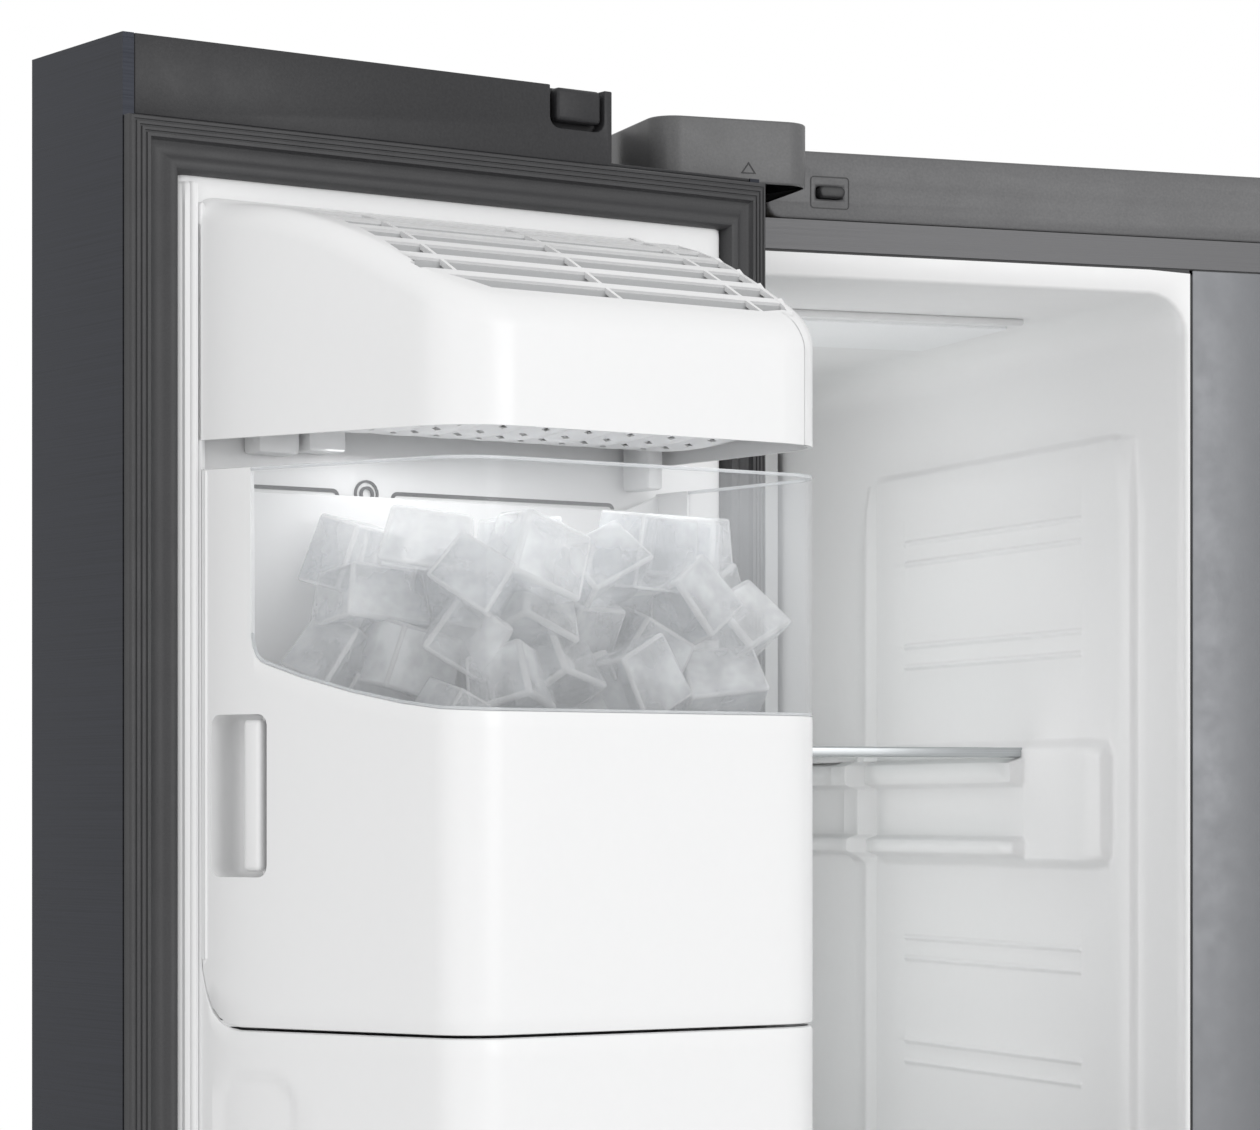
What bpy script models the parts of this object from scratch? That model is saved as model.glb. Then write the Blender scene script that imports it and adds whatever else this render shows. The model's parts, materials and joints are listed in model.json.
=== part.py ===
"""A side by side refrigerator, standing with both doors open.

The cabinet's front plane is y = 0 and its inside is at +Y. x = 0 is the middle of the cabinet.
Each door is modelled closed, under an empty on its hinge pin's axis, and the empty is turned to
open it. The whole object is then moved so that the middle of its base is at the origin.
"""

import math
from collections import namedtuple

import bmesh
import bpy
from mathutils import Vector

# Driving dimensions, in metres.
WIDTH = 0.912
CASE_DEPTH = 0.733
CASE_TOP = 1.740
HEIGHT = 1.780
CASE_BOTTOM = 0.028
SHEET = 0.001
CLEAR = 0.0003
HALF_WIDTH = WIDTH / 2

# Doors.
DOOR_GAP = 0.006
FREEZER_DOOR_WIDTH = 0.395
FRIDGE_DOOR_WIDTH = WIDTH - FREEZER_DOOR_WIDTH - DOOR_GAP
DOOR_THICKNESS = 0.095
DOOR_BOTTOM = 0.062
GASKET_GAP = 0.010
PIN_FROM_EDGE = 0.020
PIN_FROM_INSIDE = 0.058
OPEN_ANGLE = math.radians(164.5)
CAP_BOTTOM = 1.740
RETURN_WIDTH = 0.0064
GASKET_WIDTH = 0.028
GASKET_TOP = 1.7395
GASKET_BOTTOM = 0.074
GASKET_REACH = 0.0678
NOTCH_WIDTH = 0.099
NOTCH_FLOOR = 1.742
SKIN_NOTCH_WIDTH = 0.045

# Compartments.
WALL = 0.045
LINER = 0.0015
MULLION_LEFT = -0.073
MULLION_RIGHT = -0.024
FLANGE_SIDE = 0.004
FREEZER_LEFT = -HALF_WIDTH + WALL
FREEZER_RIGHT = MULLION_LEFT - FLANGE_SIDE
FRIDGE_LEFT = MULLION_RIGHT + FLANGE_SIDE
FRIDGE_RIGHT = HALF_WIDTH - WALL
FLOOR = 0.112
CEILING = 1.7065
LINER_BACK = 0.655
STEP_DEPTH = 0.455
STEP_HEIGHT = 0.345
RAIL_BOTTOM = 1.7224
SIDE_FLANGE = 0.028
APRON_TOP = 0.095

# Machine compartment and feet.
MACHINE_FRONT = 0.500
MACHINE_TOP = 0.300
BASE_PLATE = 0.050
ROLLER_RADIUS = 0.020
ROLLER_WIDTH = 0.024
AXLE_RADIUS = 0.0045
FOOT_RADIUS = 0.018
FOOT_HEIGHT = 0.014
STEM_RADIUS = 0.005
FOOT_X = 0.385
FOOT_Y = 0.045
ROLLER_X = 0.400
ROLLER_Y = 0.640
FAN_CENTRE = (0.060, 0.600, 0.160)
FAN_RADIUS = 0.070
FAN_BLADES = 5
COMPRESSOR_PLACE = (-0.200, 0.610)

# Ice maker, bucket and dispenser, measured from the door's handle edge and inner face.
ICE_LEFT = 0.038
ICE_LEFT_FRONT = 0.0955
ICE_RIGHT = 0.320
ICE_BACK = 0.006
ICE_FRONT = 0.163
COVER_BOTTOM = 1.5805
COVER_BACK_TOP = 1.7065
BUCKET_TOP = 1.566
BUCKET_BOTTOM = 1.2905
BULGE_TOP = 1.2875
BULGE_BOTTOM = 0.905
WINDOW_BACK = 0.0375
WINDOW_BOTTOM = 1.446
PLASTIC = 0.003
ALCOVE_LEFT = 0.110
ALCOVE_RIGHT = 0.285
ALCOVE_BOTTOM = 0.890
ALCOVE_TOP = 1.180
ALCOVE_DEPTH = 0.078
PANEL_TOP = 1.290
BEZEL = 0.010
CHUTE_A = (0.170, 0.240)
CHUTE_N = (0.020, 0.060)
AUGER_A = 0.205
AUGER_N = 0.084
AUGER_RADIUS = 0.055
TRAY_AXIS_N = 0.075
TRAY_AXIS_Z = 1.628
TRAY_LEFT = 0.125
TRAY_RIGHT = 0.300
COVER_CURVE = [(-0.010, 1.7075), (0.0106, 1.6992), (0.0375, 1.6960), (0.0843, 1.6804), (0.124, 1.6593),
               (0.150, 1.6470), (0.175, 1.6380)]
PADDLE_HINGE_N = -0.045
PADDLE_HINGE_Z = 1.160
POCKET_LEFT = 0.010
POCKET_RIGHT = 0.045
POCKET_DEPTH = 0.028
POCKET_WALL = 0.0015
POCKET_BOTTOM = 0.780
POCKET_TOP = 1.250

# Door bins, each with its bottom, top and depth.
FREEZER_BINS = {"lower": (0.160, 0.270, 0.090), "upper": (0.520, 0.630, 0.090)}
FRIDGE_BINS = {"lower": (0.200, 0.350, 0.115), "middle": (0.720, 0.830, 0.115),
               "upper": (1.220, 1.330, 0.115)}
FREEZER_DYKES = (0.045, 0.333)
FRIDGE_DYKES = (0.066, 0.450)
DYKE_WIDTH = 0.0125
DYKE_DEPTH = 0.060
DYKE_TOP = {"freezer_door": 0.906, "fridge_door": 1.650}

# Shelves and drawers.
FREEZER_SHELVES = {"upper": 1.438, "middle": 1.020, "lower": 0.610}
FRIDGE_SHELVES = {"upper": 1.340, "middle": 0.970}
CRISPER_COVER_Z = 0.610
SHELF_FRONT = 0.199
SHELF_BACK = 0.610
SHELF_THICKNESS = 0.0065
BRACKET_WIDTH = 0.012
BRACKET_TOP_DROP = 0.0072
BRACKET_BOTTOM_DROP = 0.075
DRAWER_FRONT = 0.125
DRAWER_LEVELS = {"lower": (0.1155, 0.335, 0.445), "upper": (0.365, 0.528, 0.600)}
DRAWER_RAIL = (0.353, 0.3645)
DRAWER_WALL = 0.0025
DRAWER_SIDE_GAP = 0.014
DRAWER_RAIL_WIDTH = 0.022

# The rail across the case's top, the door switches and the hinges.
TOP_TABLE_HALF = 0.348
TOP_TABLE_DEPTH = 0.110
SWITCH_X = 0.3085
SWITCH_Z = 1.7562
SWITCH_WIDTH = 0.016
SWITCH_HEIGHT = 0.0065
COVER_OUT = 0.018
COVER_IN = 0.075
COVER_FRONT = 0.032
COVER_BACK = 0.200
COVER_WALL = 0.0025
HINGE_PLATE = 0.005
HINGE_PIN_RADIUS = 0.0055
PIN_BOTTOM = 1.718
BOTTOM_PIN_TOP = 0.086

TURNS = {"X": (math.pi / 2, 0, math.pi / 2), "Y": (math.pi / 2, 0, 0), "Z": (0, 0, 0)}
BODY = "side_by_side_refrigerator"
CUTTERS = "cutters"


def clear_scene():
    for obj in list(bpy.data.objects):
        bpy.data.objects.remove(obj, do_unlink=True)


def new_collection(name):
    collection = bpy.data.collections.new(name)
    bpy.context.scene.collection.children.link(collection)
    return collection


def material(name, colour, roughness=0.5, metallic=0.0, alpha=1.0):
    made = bpy.data.materials.get(name)
    if made is None:
        made = bpy.data.materials.new(name)
        made.use_nodes = True
        shader = made.node_tree.nodes["Principled BSDF"]
        shader.inputs["Base Color"].default_value = (*colour, 1.0)
        shader.inputs["Roughness"].default_value = roughness
        shader.inputs["Metallic"].default_value = metallic
        shader.inputs["Alpha"].default_value = alpha
    return made


def dark_steel():
    return material("dark_brushed_steel", (0.055, 0.057, 0.066), 0.38, 0.9)


def grey_steel():
    return material("grey_painted_steel", (0.16, 0.16, 0.165), 0.5, 0.3)


def light_steel():
    return material("light_grey_steel", (0.30, 0.31, 0.33), 0.45, 0.3)


def galvanised():
    return material("galvanised_steel", (0.45, 0.46, 0.47), 0.45, 0.9)


def black_enamel():
    return material("black_enamel", (0.02, 0.02, 0.022), 0.3)


def black_glass():
    return material("black_glass_panel", (0.012, 0.012, 0.014), 0.1)


def dark_plastic():
    return material("dark_grey_plastic", (0.060, 0.060, 0.062), 0.5)


def grey_plastic():
    return material("grey_plastic", (0.17, 0.17, 0.175), 0.5)


def white_plastic():
    return material("white_liner_plastic", (0.86, 0.87, 0.88), 0.35)


def clear_plastic():
    return material("clear_plastic", (0.80, 0.83, 0.85), 0.08, 0.0, 0.35)


def shelf_glass():
    return material("shelf_glass", (0.72, 0.80, 0.79), 0.05, 0.0, 0.4)


def gasket_rubber():
    return material("grey_gasket_rubber", (0.065, 0.065, 0.068), 0.7)


def foam():
    return material("insulation_foam", (0.80, 0.70, 0.45), 0.9)


def link(obj, parent, finish):
    """Puts the object with the parts, or with the cutters where it has no finish."""
    home = BODY if finish else CUTTERS
    bpy.data.collections[home].objects.link(obj)
    obj.parent = parent
    if finish:
        obj.data.materials.append(finish)
    else:
        obj.hide_render = True
        obj.display_type = "WIRE"
    return obj


def shade_round(obj, angle=math.radians(35)):
    obj.data.shade_smooth()
    obj.data.set_sharp_from_angle(angle=angle)


def box(name, low, high, parent, finish=None):
    """A box between two corners, which may come in any order."""
    low, high = Vector(low), Vector(high)
    size = high - low
    mesh = bpy.data.meshes.new(name)
    cube = bmesh.new()
    bmesh.ops.create_cube(cube, size=1.0)
    bmesh.ops.scale(cube, vec=[abs(side) for side in size], verts=cube.verts)
    cube.to_mesh(mesh)
    cube.free()
    obj = bpy.data.objects.new(name, mesh)
    obj.location = (low + high) / 2
    return link(obj, parent, finish)


def cylinder(name, start, end, radius, parent, finish=None, segments=24, end_radius=None):
    """A cylinder or a cone between two points."""
    start, end = Vector(start), Vector(end)
    along = end - start
    mesh = bpy.data.meshes.new(name)
    cone = bmesh.new()
    bmesh.ops.create_cone(
        cone,
        cap_ends=True,
        segments=segments,
        radius1=radius,
        radius2=radius if end_radius is None else end_radius,
        depth=along.length,
    )
    cone.to_mesh(mesh)
    cone.free()
    obj = bpy.data.objects.new(name, mesh)
    obj.location = (start + end) / 2
    obj.rotation_euler = along.to_track_quat("Z", "Y").to_euler()
    shade_round(obj)
    return link(obj, parent, finish)


def rounded(points, radii, steps=4):
    """The outline with an arc of the given radius at each corner; 0 keeps the corner."""
    outline = []
    count = len(points)
    for i, radius in enumerate(radii):
        corner = Vector(points[i])
        before = (Vector(points[i - 1]) - corner).normalized()
        after = (Vector(points[(i + 1) % count]) - corner).normalized()
        if radius == 0:
            outline.append(corner)
            continue
        half = before.angle(after) / 2
        centre = corner + (before + after).normalized() * radius / math.sin(half)
        first = corner + before * radius / math.tan(half) - centre
        last = corner + after * radius / math.tan(half) - centre
        turn = first.angle_signed(last)
        for step in range(steps + 1):
            angle = -turn * step / steps
            outline.append(centre + Vector((
                first.x * math.cos(angle) - first.y * math.sin(angle),
                first.x * math.sin(angle) + first.y * math.cos(angle),
            )))
    return outline


def prism(name, outline, low, high, parent, finish=None, along="Z"):
    """A flat outline drawn out along an axis: (x, y) along Z, (x, z) along Y or (y, z) along X."""
    curve = bpy.data.curves.new(name, "CURVE")
    curve.dimensions = "2D"
    curve.fill_mode = "BOTH"
    curve.extrude = (high - low) / 2
    spline = curve.splines.new("POLY")
    spline.points.add(len(outline) - 1)
    for point, place in zip(spline.points, outline):
        point.co = (place[0], place[1], 0.0, 1.0)
    spline.use_cyclic_u = True
    flat = bpy.data.objects.new(name + "_outline", curve)
    bpy.context.scene.collection.objects.link(flat)
    bpy.context.view_layer.update()
    graph = bpy.context.evaluated_depsgraph_get()
    mesh = bpy.data.meshes.new_from_object(flat.evaluated_get(graph))
    bpy.data.objects.remove(flat, do_unlink=True)
    welded = bmesh.new()
    welded.from_mesh(mesh)
    bmesh.ops.remove_doubles(welded, verts=welded.verts, dist=1e-6)
    bmesh.ops.recalc_face_normals(welded, faces=welded.faces)
    welded.to_mesh(mesh)
    welded.free()
    mesh.name = name
    obj = bpy.data.objects.new(name, mesh)
    obj.rotation_euler = TURNS[along]
    obj.location["XYZ".index(along)] = (low + high) / 2
    return link(obj, parent, finish)


def boolean(obj, other, operation):
    modifier = obj.modifiers.new(operation.lower() + "_" + other.name, "BOOLEAN")
    modifier.operation = operation
    modifier.solver = "EXACT"
    modifier.object = other
    return obj


def cut(obj, *others):
    for other in others:
        boolean(obj, other, "DIFFERENCE")
    return obj


def add(obj, *others):
    for other in others:
        boolean(obj, other, "UNION")
    return obj


def open_box(name, low, high, wall, parent, finish):
    """A thin box with no top, such as a drawer or a bin."""
    obj = box(name, low, high, parent, finish)
    shell = bmesh.new()
    shell.from_mesh(obj.data)
    top = [face for face in shell.faces if face.normal.z > 0.5]
    bmesh.ops.delete(shell, geom=top, context="FACES_ONLY")
    shell.to_mesh(obj.data)
    shell.free()
    solidify = obj.modifiers.new("wall", "SOLIDIFY")
    solidify.thickness = wall
    solidify.offset = -1
    solidify.use_even_offset = True
    return obj


def turned(name, profile, parent, finish=None, segments=32, closed=False):
    """A profile, (radius, height), turned about Z; its outer side runs from the top down."""
    mesh = bpy.data.meshes.new(name)
    edges = [(i, i + 1) for i in range(len(profile) - 1)]
    if closed:
        edges.append((len(profile) - 1, 0))
    mesh.from_pydata([(radius, 0, height) for radius, height in profile], edges, [])
    obj = bpy.data.objects.new(name, mesh)
    screw = obj.modifiers.new("turn", "SCREW")
    screw.steps = segments
    screw.render_steps = segments
    screw.use_merge_vertices = True
    screw.merge_threshold = 0.00005
    screw.use_smooth_shade = True
    return link(obj, parent, finish)


def empty(name, location, parent=None):
    obj = bpy.data.objects.new(name, None)
    obj.empty_display_size = 0.1
    obj.location = location
    obj.parent = parent
    bpy.data.collections[BODY].objects.link(obj)
    return obj


# The cabinet.


def outer_case(root):
    """The folded steel case: both sides and the top, with a front flange on each side."""
    case = box("outer_case", (-HALF_WIDTH, 0, CASE_BOTTOM), (HALF_WIDTH, CASE_DEPTH, CASE_TOP),
               root, grey_steel())
    hollow = box("case_hollow", (-HALF_WIDTH + SHEET, SHEET, 0),
                 (HALF_WIDTH - SHEET, CASE_DEPTH + 0.01, CASE_TOP - SHEET), root)
    mouth = box("case_mouth", (-HALF_WIDTH + SIDE_FLANGE, -0.01, 0),
                (HALF_WIDTH - SIDE_FLANGE, 0.005, CASE_TOP + 0.01), root)
    return cut(case, hollow, mouth)


def back_panel(root):
    inset = SHEET + CLEAR
    return box("back_panel", (-HALF_WIDTH + inset, CASE_DEPTH - SHEET, MACHINE_TOP + 0.004),
               (HALF_WIDTH - inset, CASE_DEPTH, CASE_TOP - inset), root, galvanised())


def step_profile(inset, back=0.0):
    """The compartment's side outline, (y, z), with the step over the machine compartment."""
    points = [
        (back, FLOOR + inset),
        (STEP_DEPTH - inset, FLOOR + inset),
        (STEP_DEPTH - inset, STEP_HEIGHT + inset),
        (LINER_BACK - inset, STEP_HEIGHT + inset),
        (LINER_BACK - inset, CEILING - inset),
        (back, CEILING - inset),
    ]
    radius = 0.020 - inset
    return rounded(points, [0, radius, 0, radius, radius, 0], steps=3)


def insulation_foam(root):
    """The foam between the case and the liners, with a hollow for each compartment."""
    inset = SHEET + CLEAR
    body = box("insulation_foam", (-HALF_WIDTH + inset, 0.0022, BASE_PLATE + 0.003),
               (HALF_WIDTH - inset, CASE_DEPTH - inset, CASE_TOP - inset), root, foam())
    reach = -LINER - CLEAR
    hollows = [
        prism("freezer_hollow", step_profile(reach, -0.01), FREEZER_LEFT + reach,
              FREEZER_RIGHT - reach, root, along="X"),
        prism("fridge_hollow", step_profile(reach, -0.01), FRIDGE_LEFT + reach,
              FRIDGE_RIGHT - reach, root, along="X"),
        box("machine_hollow", (-HALF_WIDTH - 0.01, MACHINE_FRONT, 0.04),
            (HALF_WIDTH + 0.01, CASE_DEPTH + 0.01, MACHINE_TOP), root),
    ]
    return cut(body, *hollows)


def shelf_bracket(name, wall_x, inward, shelf_top, root):
    """The moulded block in the liner's wall that carries a shelf's end."""
    return box(name, (wall_x - inward * 0.001, SHELF_FRONT, shelf_top - BRACKET_BOTTOM_DROP),
               (wall_x + inward * BRACKET_WIDTH, SHELF_BACK - 0.03, shelf_top - BRACKET_TOP_DROP), root)


def liner(name, left, right, flange_left, flange_right, shelf_tops, root):
    """The vacuum-formed inside of a compartment, with its front flange and shelf brackets."""
    body = box(name, (flange_left, 0, APRON_TOP + CLEAR), (flange_right, LINER, RAIL_BOTTOM - CLEAR),
               root, white_plastic())
    add(body, prism(name + "_tub", step_profile(-LINER, LINER / 2), left - LINER, right + LINER,
                    root, along="X"))
    cut(body, prism(name + "_inside", step_profile(0, -0.01), left, right, root, along="X"))
    for i, top in enumerate(shelf_tops):
        add(body, shelf_bracket(f"{name}_bracket_{i}_left", left, 1, top, root),
            shelf_bracket(f"{name}_bracket_{i}_right", right, -1, top, root))
    low, high = DRAWER_RAIL
    for end, wall_x, inward in (("left", left, 1), ("right", right, -1)):
        add(body, box(f"{name}_drawer_rail_{end}", (wall_x - inward * 0.001, DRAWER_FRONT + 0.030, low),
                      (wall_x + inward * DRAWER_RAIL_WIDTH, STEP_DEPTH - 0.010, high), root))
    return body


def shelf(name, left, right, top, root, back=SHELF_BACK):
    """A glass shelf that rests on the liner's brackets, with a thicker front trim."""
    gap = 0.0015
    glass = box(name, (left + gap, SHELF_FRONT + 0.004, top - 0.005), (right - gap, back, top - 0.0005),
                root, shelf_glass())
    trim = box(name + "_trim", (left + gap, SHELF_FRONT, top - SHELF_THICKNESS),
               (right - gap, SHELF_FRONT + 0.010, top), root)
    return add(glass, trim)


def front_rail(root):
    """The steel band across the top of both openings."""
    side = HALF_WIDTH - SIDE_FLANGE - CLEAR
    return box("front_rail", (-side, 0, RAIL_BOTTOM), (side, 0.0012, CASE_TOP), root, grey_steel())


def center_mullion(root):
    return box("center_mullion", (MULLION_LEFT, 0, APRON_TOP + CLEAR),
               (MULLION_RIGHT, 0.0012, RAIL_BOTTOM - CLEAR), root, light_steel())


def top_table(root):
    """The plastic rail on top of the case, between the hinges, with a pocket for each switch."""
    low = CASE_TOP + CLEAR
    corners = [(-TOP_TABLE_HALF, low), (TOP_TABLE_HALF, low), (TOP_TABLE_HALF, HEIGHT),
               (-TOP_TABLE_HALF, HEIGHT)]
    rail = prism("top_table", rounded(corners, [0.009, 0.009, 0.002, 0.002]), 0, TOP_TABLE_DEPTH,
                 root, grey_plastic(), along="Y")
    for side in (-1, 1):
        reach = (SWITCH_WIDTH / 2 + CLEAR, SWITCH_HEIGHT / 2 + CLEAR)
        cut(rail, box(f"switch_pocket_{side}", (side * SWITCH_X - reach[0], -0.01, SWITCH_Z - reach[1]),
                      (side * SWITCH_X + reach[0], 0.016, SWITCH_Z + reach[1]), root))
    return rail


def door_switch(name, side, root):
    """A sprung button that the closing door pushes in; its travel leaves room behind it."""
    x = side * SWITCH_X
    half = SWITCH_WIDTH / 2
    outline = rounded(
        [(x - half, SWITCH_Z - SWITCH_HEIGHT / 2), (x + half, SWITCH_Z - SWITCH_HEIGHT / 2),
         (x + half, SWITCH_Z + SWITCH_HEIGHT / 2), (x - half, SWITCH_Z + SWITCH_HEIGHT / 2)],
        [0.0030] * 4)
    return prism(name, outline, -0.0045, 0.0100, root, grey_plastic(), along="Y")


def hinge_place(side, x, y):
    """A point near a door's pin: x from the pin towards the middle, y from the pin backwards."""
    pin_x = HALF_WIDTH - PIN_FROM_EDGE
    return (side * (pin_x - x), y - GASKET_GAP - PIN_FROM_INSIDE)


def hinge_cover(name, side, root):
    """The rounded plastic hood over a top hinge, open underneath."""
    corners = [hinge_place(side, -COVER_OUT, -COVER_FRONT), hinge_place(side, COVER_IN, -COVER_FRONT),
               hinge_place(side, COVER_IN, COVER_BACK), hinge_place(side, -COVER_OUT, COVER_BACK)]
    radii = [0.015, 0.015, 0.006, 0.006]
    hood = prism(name, rounded(corners, radii, steps=6), CASE_TOP + 0.0030, HEIGHT - 0.002, root,
                 grey_plastic())
    wall = COVER_WALL
    inner = [hinge_place(side, -COVER_OUT + wall, -COVER_FRONT + wall),
             hinge_place(side, COVER_IN - wall, -COVER_FRONT + wall),
             hinge_place(side, COVER_IN - wall, COVER_BACK - wall),
             hinge_place(side, -COVER_OUT + wall, COVER_BACK - wall)]
    return cut(hood, prism(name + "_inside", rounded(inner, [0.0125, 0.0125, 0.0035, 0.0035], steps=6),
                           CASE_TOP - 0.01, HEIGHT - 0.002 - wall, root))


def top_hinge(name, side, root):
    """The steel arm screwed to the case top, with the pin that the door turns on."""
    low = CASE_TOP + 0.0032
    arm = prism(name, rounded([hinge_place(side, -0.014, -0.013), hinge_place(side, 0.014, -0.013),
                               hinge_place(side, 0.060, 0.085), hinge_place(side, 0.060, 0.185),
                               hinge_place(side, -0.014, 0.185)], [0.0125, 0.0125, 0.010, 0.004, 0.004]),
                low, low + HINGE_PLATE, root, galvanised())
    x, y = hinge_place(side, 0, 0)
    add(arm, cylinder(name + "_pin", (x, y, PIN_BOTTOM), (x, y, low + 0.012), HINGE_PIN_RADIUS, root))
    for i, (from_pin, back) in enumerate(((0.005, 0.110), (0.040, 0.110), (0.005, 0.160))):
        x, y = hinge_place(side, from_pin, back)
        add(arm, cylinder(f"{name}_screw_{i}", (x, y, low + 0.002), (x, y, low + 0.010), 0.006, root,
                          segments=12))
        add(arm, cylinder(f"{name}_foot_{i}", (x, y, CASE_TOP + CLEAR), (x, y, low + 0.002), 0.008, root,
                          segments=12))
    return arm


def bottom_hinge(name, side, root):
    """The steel bracket under the door, bolted to the cabinet's front, with an upward pin."""
    plate_top = DOOR_BOTTOM - 0.006
    bracket = prism(name, rounded([hinge_place(side, -0.014, -0.014), hinge_place(side, 0.014, -0.014),
                                   hinge_place(side, 0.038, 0.0675), hinge_place(side, -0.014, 0.0675)],
                                  [0.013, 0.013, 0, 0]), plate_top - HINGE_PLATE, plate_top, root,
                    galvanised())
    low_corner = (*hinge_place(side, -0.014, 0.0625), CASE_BOTTOM + 0.004)
    high_corner = (*hinge_place(side, 0.038, 0.0677), plate_top - 0.001)
    add(bracket, box(name + "_wall_plate", low_corner, high_corner, root))
    x, y = hinge_place(side, 0, 0)
    add(bracket, cylinder(name + "_pin", (x, y, plate_top - 0.002), (x, y, BOTTOM_PIN_TOP),
                          HINGE_PIN_RADIUS, root))
    return add(bracket, cylinder(name + "_washer", (x, y, plate_top - 0.001), (x, y, DOOR_BOTTOM - 0.0008),
                                 0.011, root))


def toe_grille(root):
    """The slotted plinth grille at floor level, between the lower hinges."""
    grille = box("toe_grille", (-0.385, -0.012, 0.008), (0.385, -0.004, 0.047), root, dark_plastic())
    slot = box("toe_grille_slot", (-0.365, -0.02, 0.0135), (-0.335, 0.01, 0.0165), root)
    for name, count, step in (("columns", 19, (0.0389, 0, 0)), ("rows", 4, (0, 0, 0.0085))):
        array = slot.modifiers.new(name, "ARRAY")
        array.count = count
        array.use_relative_offset = False
        array.use_constant_offset = True
        array.constant_offset_displace = step
    return cut(grille, slot)


def base_frame(root):
    """The floor pan: front apron, cross beams, roller axles, foot nuts and the fan's bracket."""
    side = HALF_WIDTH - SHEET - CLEAR
    pan = box("base_frame", (-side, 0.012, BASE_PLATE), (side, CASE_DEPTH - 0.003, BASE_PLATE + 0.002),
              root, galvanised())
    inner = HALF_WIDTH - SIDE_FLANGE - CLEAR
    add(pan,
        box("apron", (-inner, 0, BASE_PLATE - 0.002), (inner, 0.0015, APRON_TOP), root),
        box("apron_fold", (-inner, 0.0005, BASE_PLATE + 0.0004), (inner, 0.014, BASE_PLATE + 0.0016), root))
    for x in (-FOOT_X, FOOT_X):
        nut = cylinder(f"foot_nut_{x}", (x, FOOT_Y, 0.028), (x, FOOT_Y, BASE_PLATE + 0.001), 0.012, root,
                       segments=6)
        add(pan, nut)
        cut(pan, cylinder(f"foot_bore_{x}", (x, FOOT_Y, 0.0), (x, FOOT_Y, 0.047), STEM_RADIUS + 0.0006,
                          root))
    for x in (-ROLLER_X, ROLLER_X):
        for edge in (-1, 1):
            wall = x + edge * (ROLLER_WIDTH / 2 + 0.0025)
            add(pan, box(f"roller_cheek_{x}_{edge}", (wall - 0.0015, ROLLER_Y - 0.016, 0.008),
                         (wall + 0.0015, ROLLER_Y + 0.016, BASE_PLATE + 0.001), root))
        add(pan, cylinder(f"roller_axle_{x}", (x - 0.016, ROLLER_Y, ROLLER_RADIUS),
                          (x + 0.016, ROLLER_Y, ROLLER_RADIUS), AXLE_RADIUS, root))
    fan_x, fan_y, fan_z = FAN_CENTRE
    add(pan, box("fan_post", (fan_x - 0.012, fan_y + 0.040, BASE_PLATE + 0.001),
                 (fan_x + 0.012, fan_y + 0.046, fan_z + 0.012), root),
        cylinder("fan_motor", (fan_x, fan_y + 0.014, fan_z), (fan_x, fan_y + 0.041, fan_z), 0.018, root),
        cylinder("fan_shaft", (fan_x, fan_y - 0.010, fan_z), (fan_x, fan_y + 0.020, fan_z), 0.003, root,
                 segments=16))
    return pan


def condenser_fan(root):
    """Pitched blades on a hub that turns on the motor's shaft."""
    axis = empty("fan_axis", FAN_CENTRE, root)
    fan = cylinder("condenser_fan", (0, -0.008, 0), (0, 0.010, 0), 0.016, axis, dark_plastic())
    for i in range(FAN_BLADES):
        spoke = empty(f"fan_spoke_{i}", (0, 0, 0), axis)
        spoke.rotation_euler = (0, 2 * math.pi * i / FAN_BLADES, 0)
        blade = box(f"fan_blade_{i}", (-0.018, -0.001, 0.012), (0.018, 0.001, FAN_RADIUS), spoke)
        blade.rotation_euler = (0, 0, math.radians(22))
        add(fan, blade)
    return cut(fan, cylinder("fan_bore", (0, -0.02, 0), (0, 0.02, 0), 0.0036, axis))


def roller(name, x, root):
    """A rear wheel with a bore for its axle."""
    half = ROLLER_WIDTH / 2
    profile = [(0.0052, half), (0.0145, half), (ROLLER_RADIUS - 0.002, half - 0.003),
               (ROLLER_RADIUS, half - 0.006), (ROLLER_RADIUS, -half + 0.006),
               (ROLLER_RADIUS - 0.002, -half + 0.003), (0.0145, -half), (0.0052, -half)]
    wheel = turned(name, profile, root, dark_plastic(), closed=True)
    wheel.location = (x, ROLLER_Y, ROLLER_RADIUS)
    wheel.rotation_euler = (0, math.pi / 2, 0)
    return wheel


def leveling_leg(name, x, root):
    """A round foot on a screwed stem, turned to raise or lower the cabinet's front."""
    profile = [(0, 0.0465), (STEM_RADIUS, 0.0465), (STEM_RADIUS, FOOT_HEIGHT), (0.012, FOOT_HEIGHT - 0.001),
               (FOOT_RADIUS, 0.009), (FOOT_RADIUS, 0.002), (FOOT_RADIUS - 0.002, 0), (0, 0)]
    leg = turned(name, profile, root, dark_plastic(), segments=24)
    leg.location = (x, FOOT_Y, 0)
    return leg


def compressor(root):
    """The sealed compressor can on its mounting plate and four rubber feet."""
    x, y = COMPRESSOR_PLACE
    low = BASE_PLATE + 0.002 + CLEAR
    dome = [(0, 0.176), (0.030, 0.173), (0.056, 0.160), (0.070, 0.140), (0.074, 0.112), (0.078, 0.106),
            (0.078, 0.098), (0.074, 0.092), (0.073, 0.050), (0.062, 0.030), (0.040, 0.020), (0, 0.018)]
    can = turned("compressor", dome, root, black_enamel(), segments=28)
    can.location = (x, y, low)
    add(can, box("compressor_plate", (x - 0.095, y - 0.055, low + 0.016), (x + 0.095, y + 0.055, low + 0.022),
                 root))
    for along in (-0.080, 0.080):
        for across in (-0.042, 0.042):
            add(can, cylinder(f"compressor_foot_{along}_{across}", (x + along, y + across, low),
                              (x + along, y + across, low + 0.020), 0.011, root, segments=12))
    pipe_x = x + 0.045
    return add(can, cylinder("compressor_pipe", (pipe_x, y, low + 0.100), (pipe_x, y, low + 0.200), 0.005,
                             root, segments=10))


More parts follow.
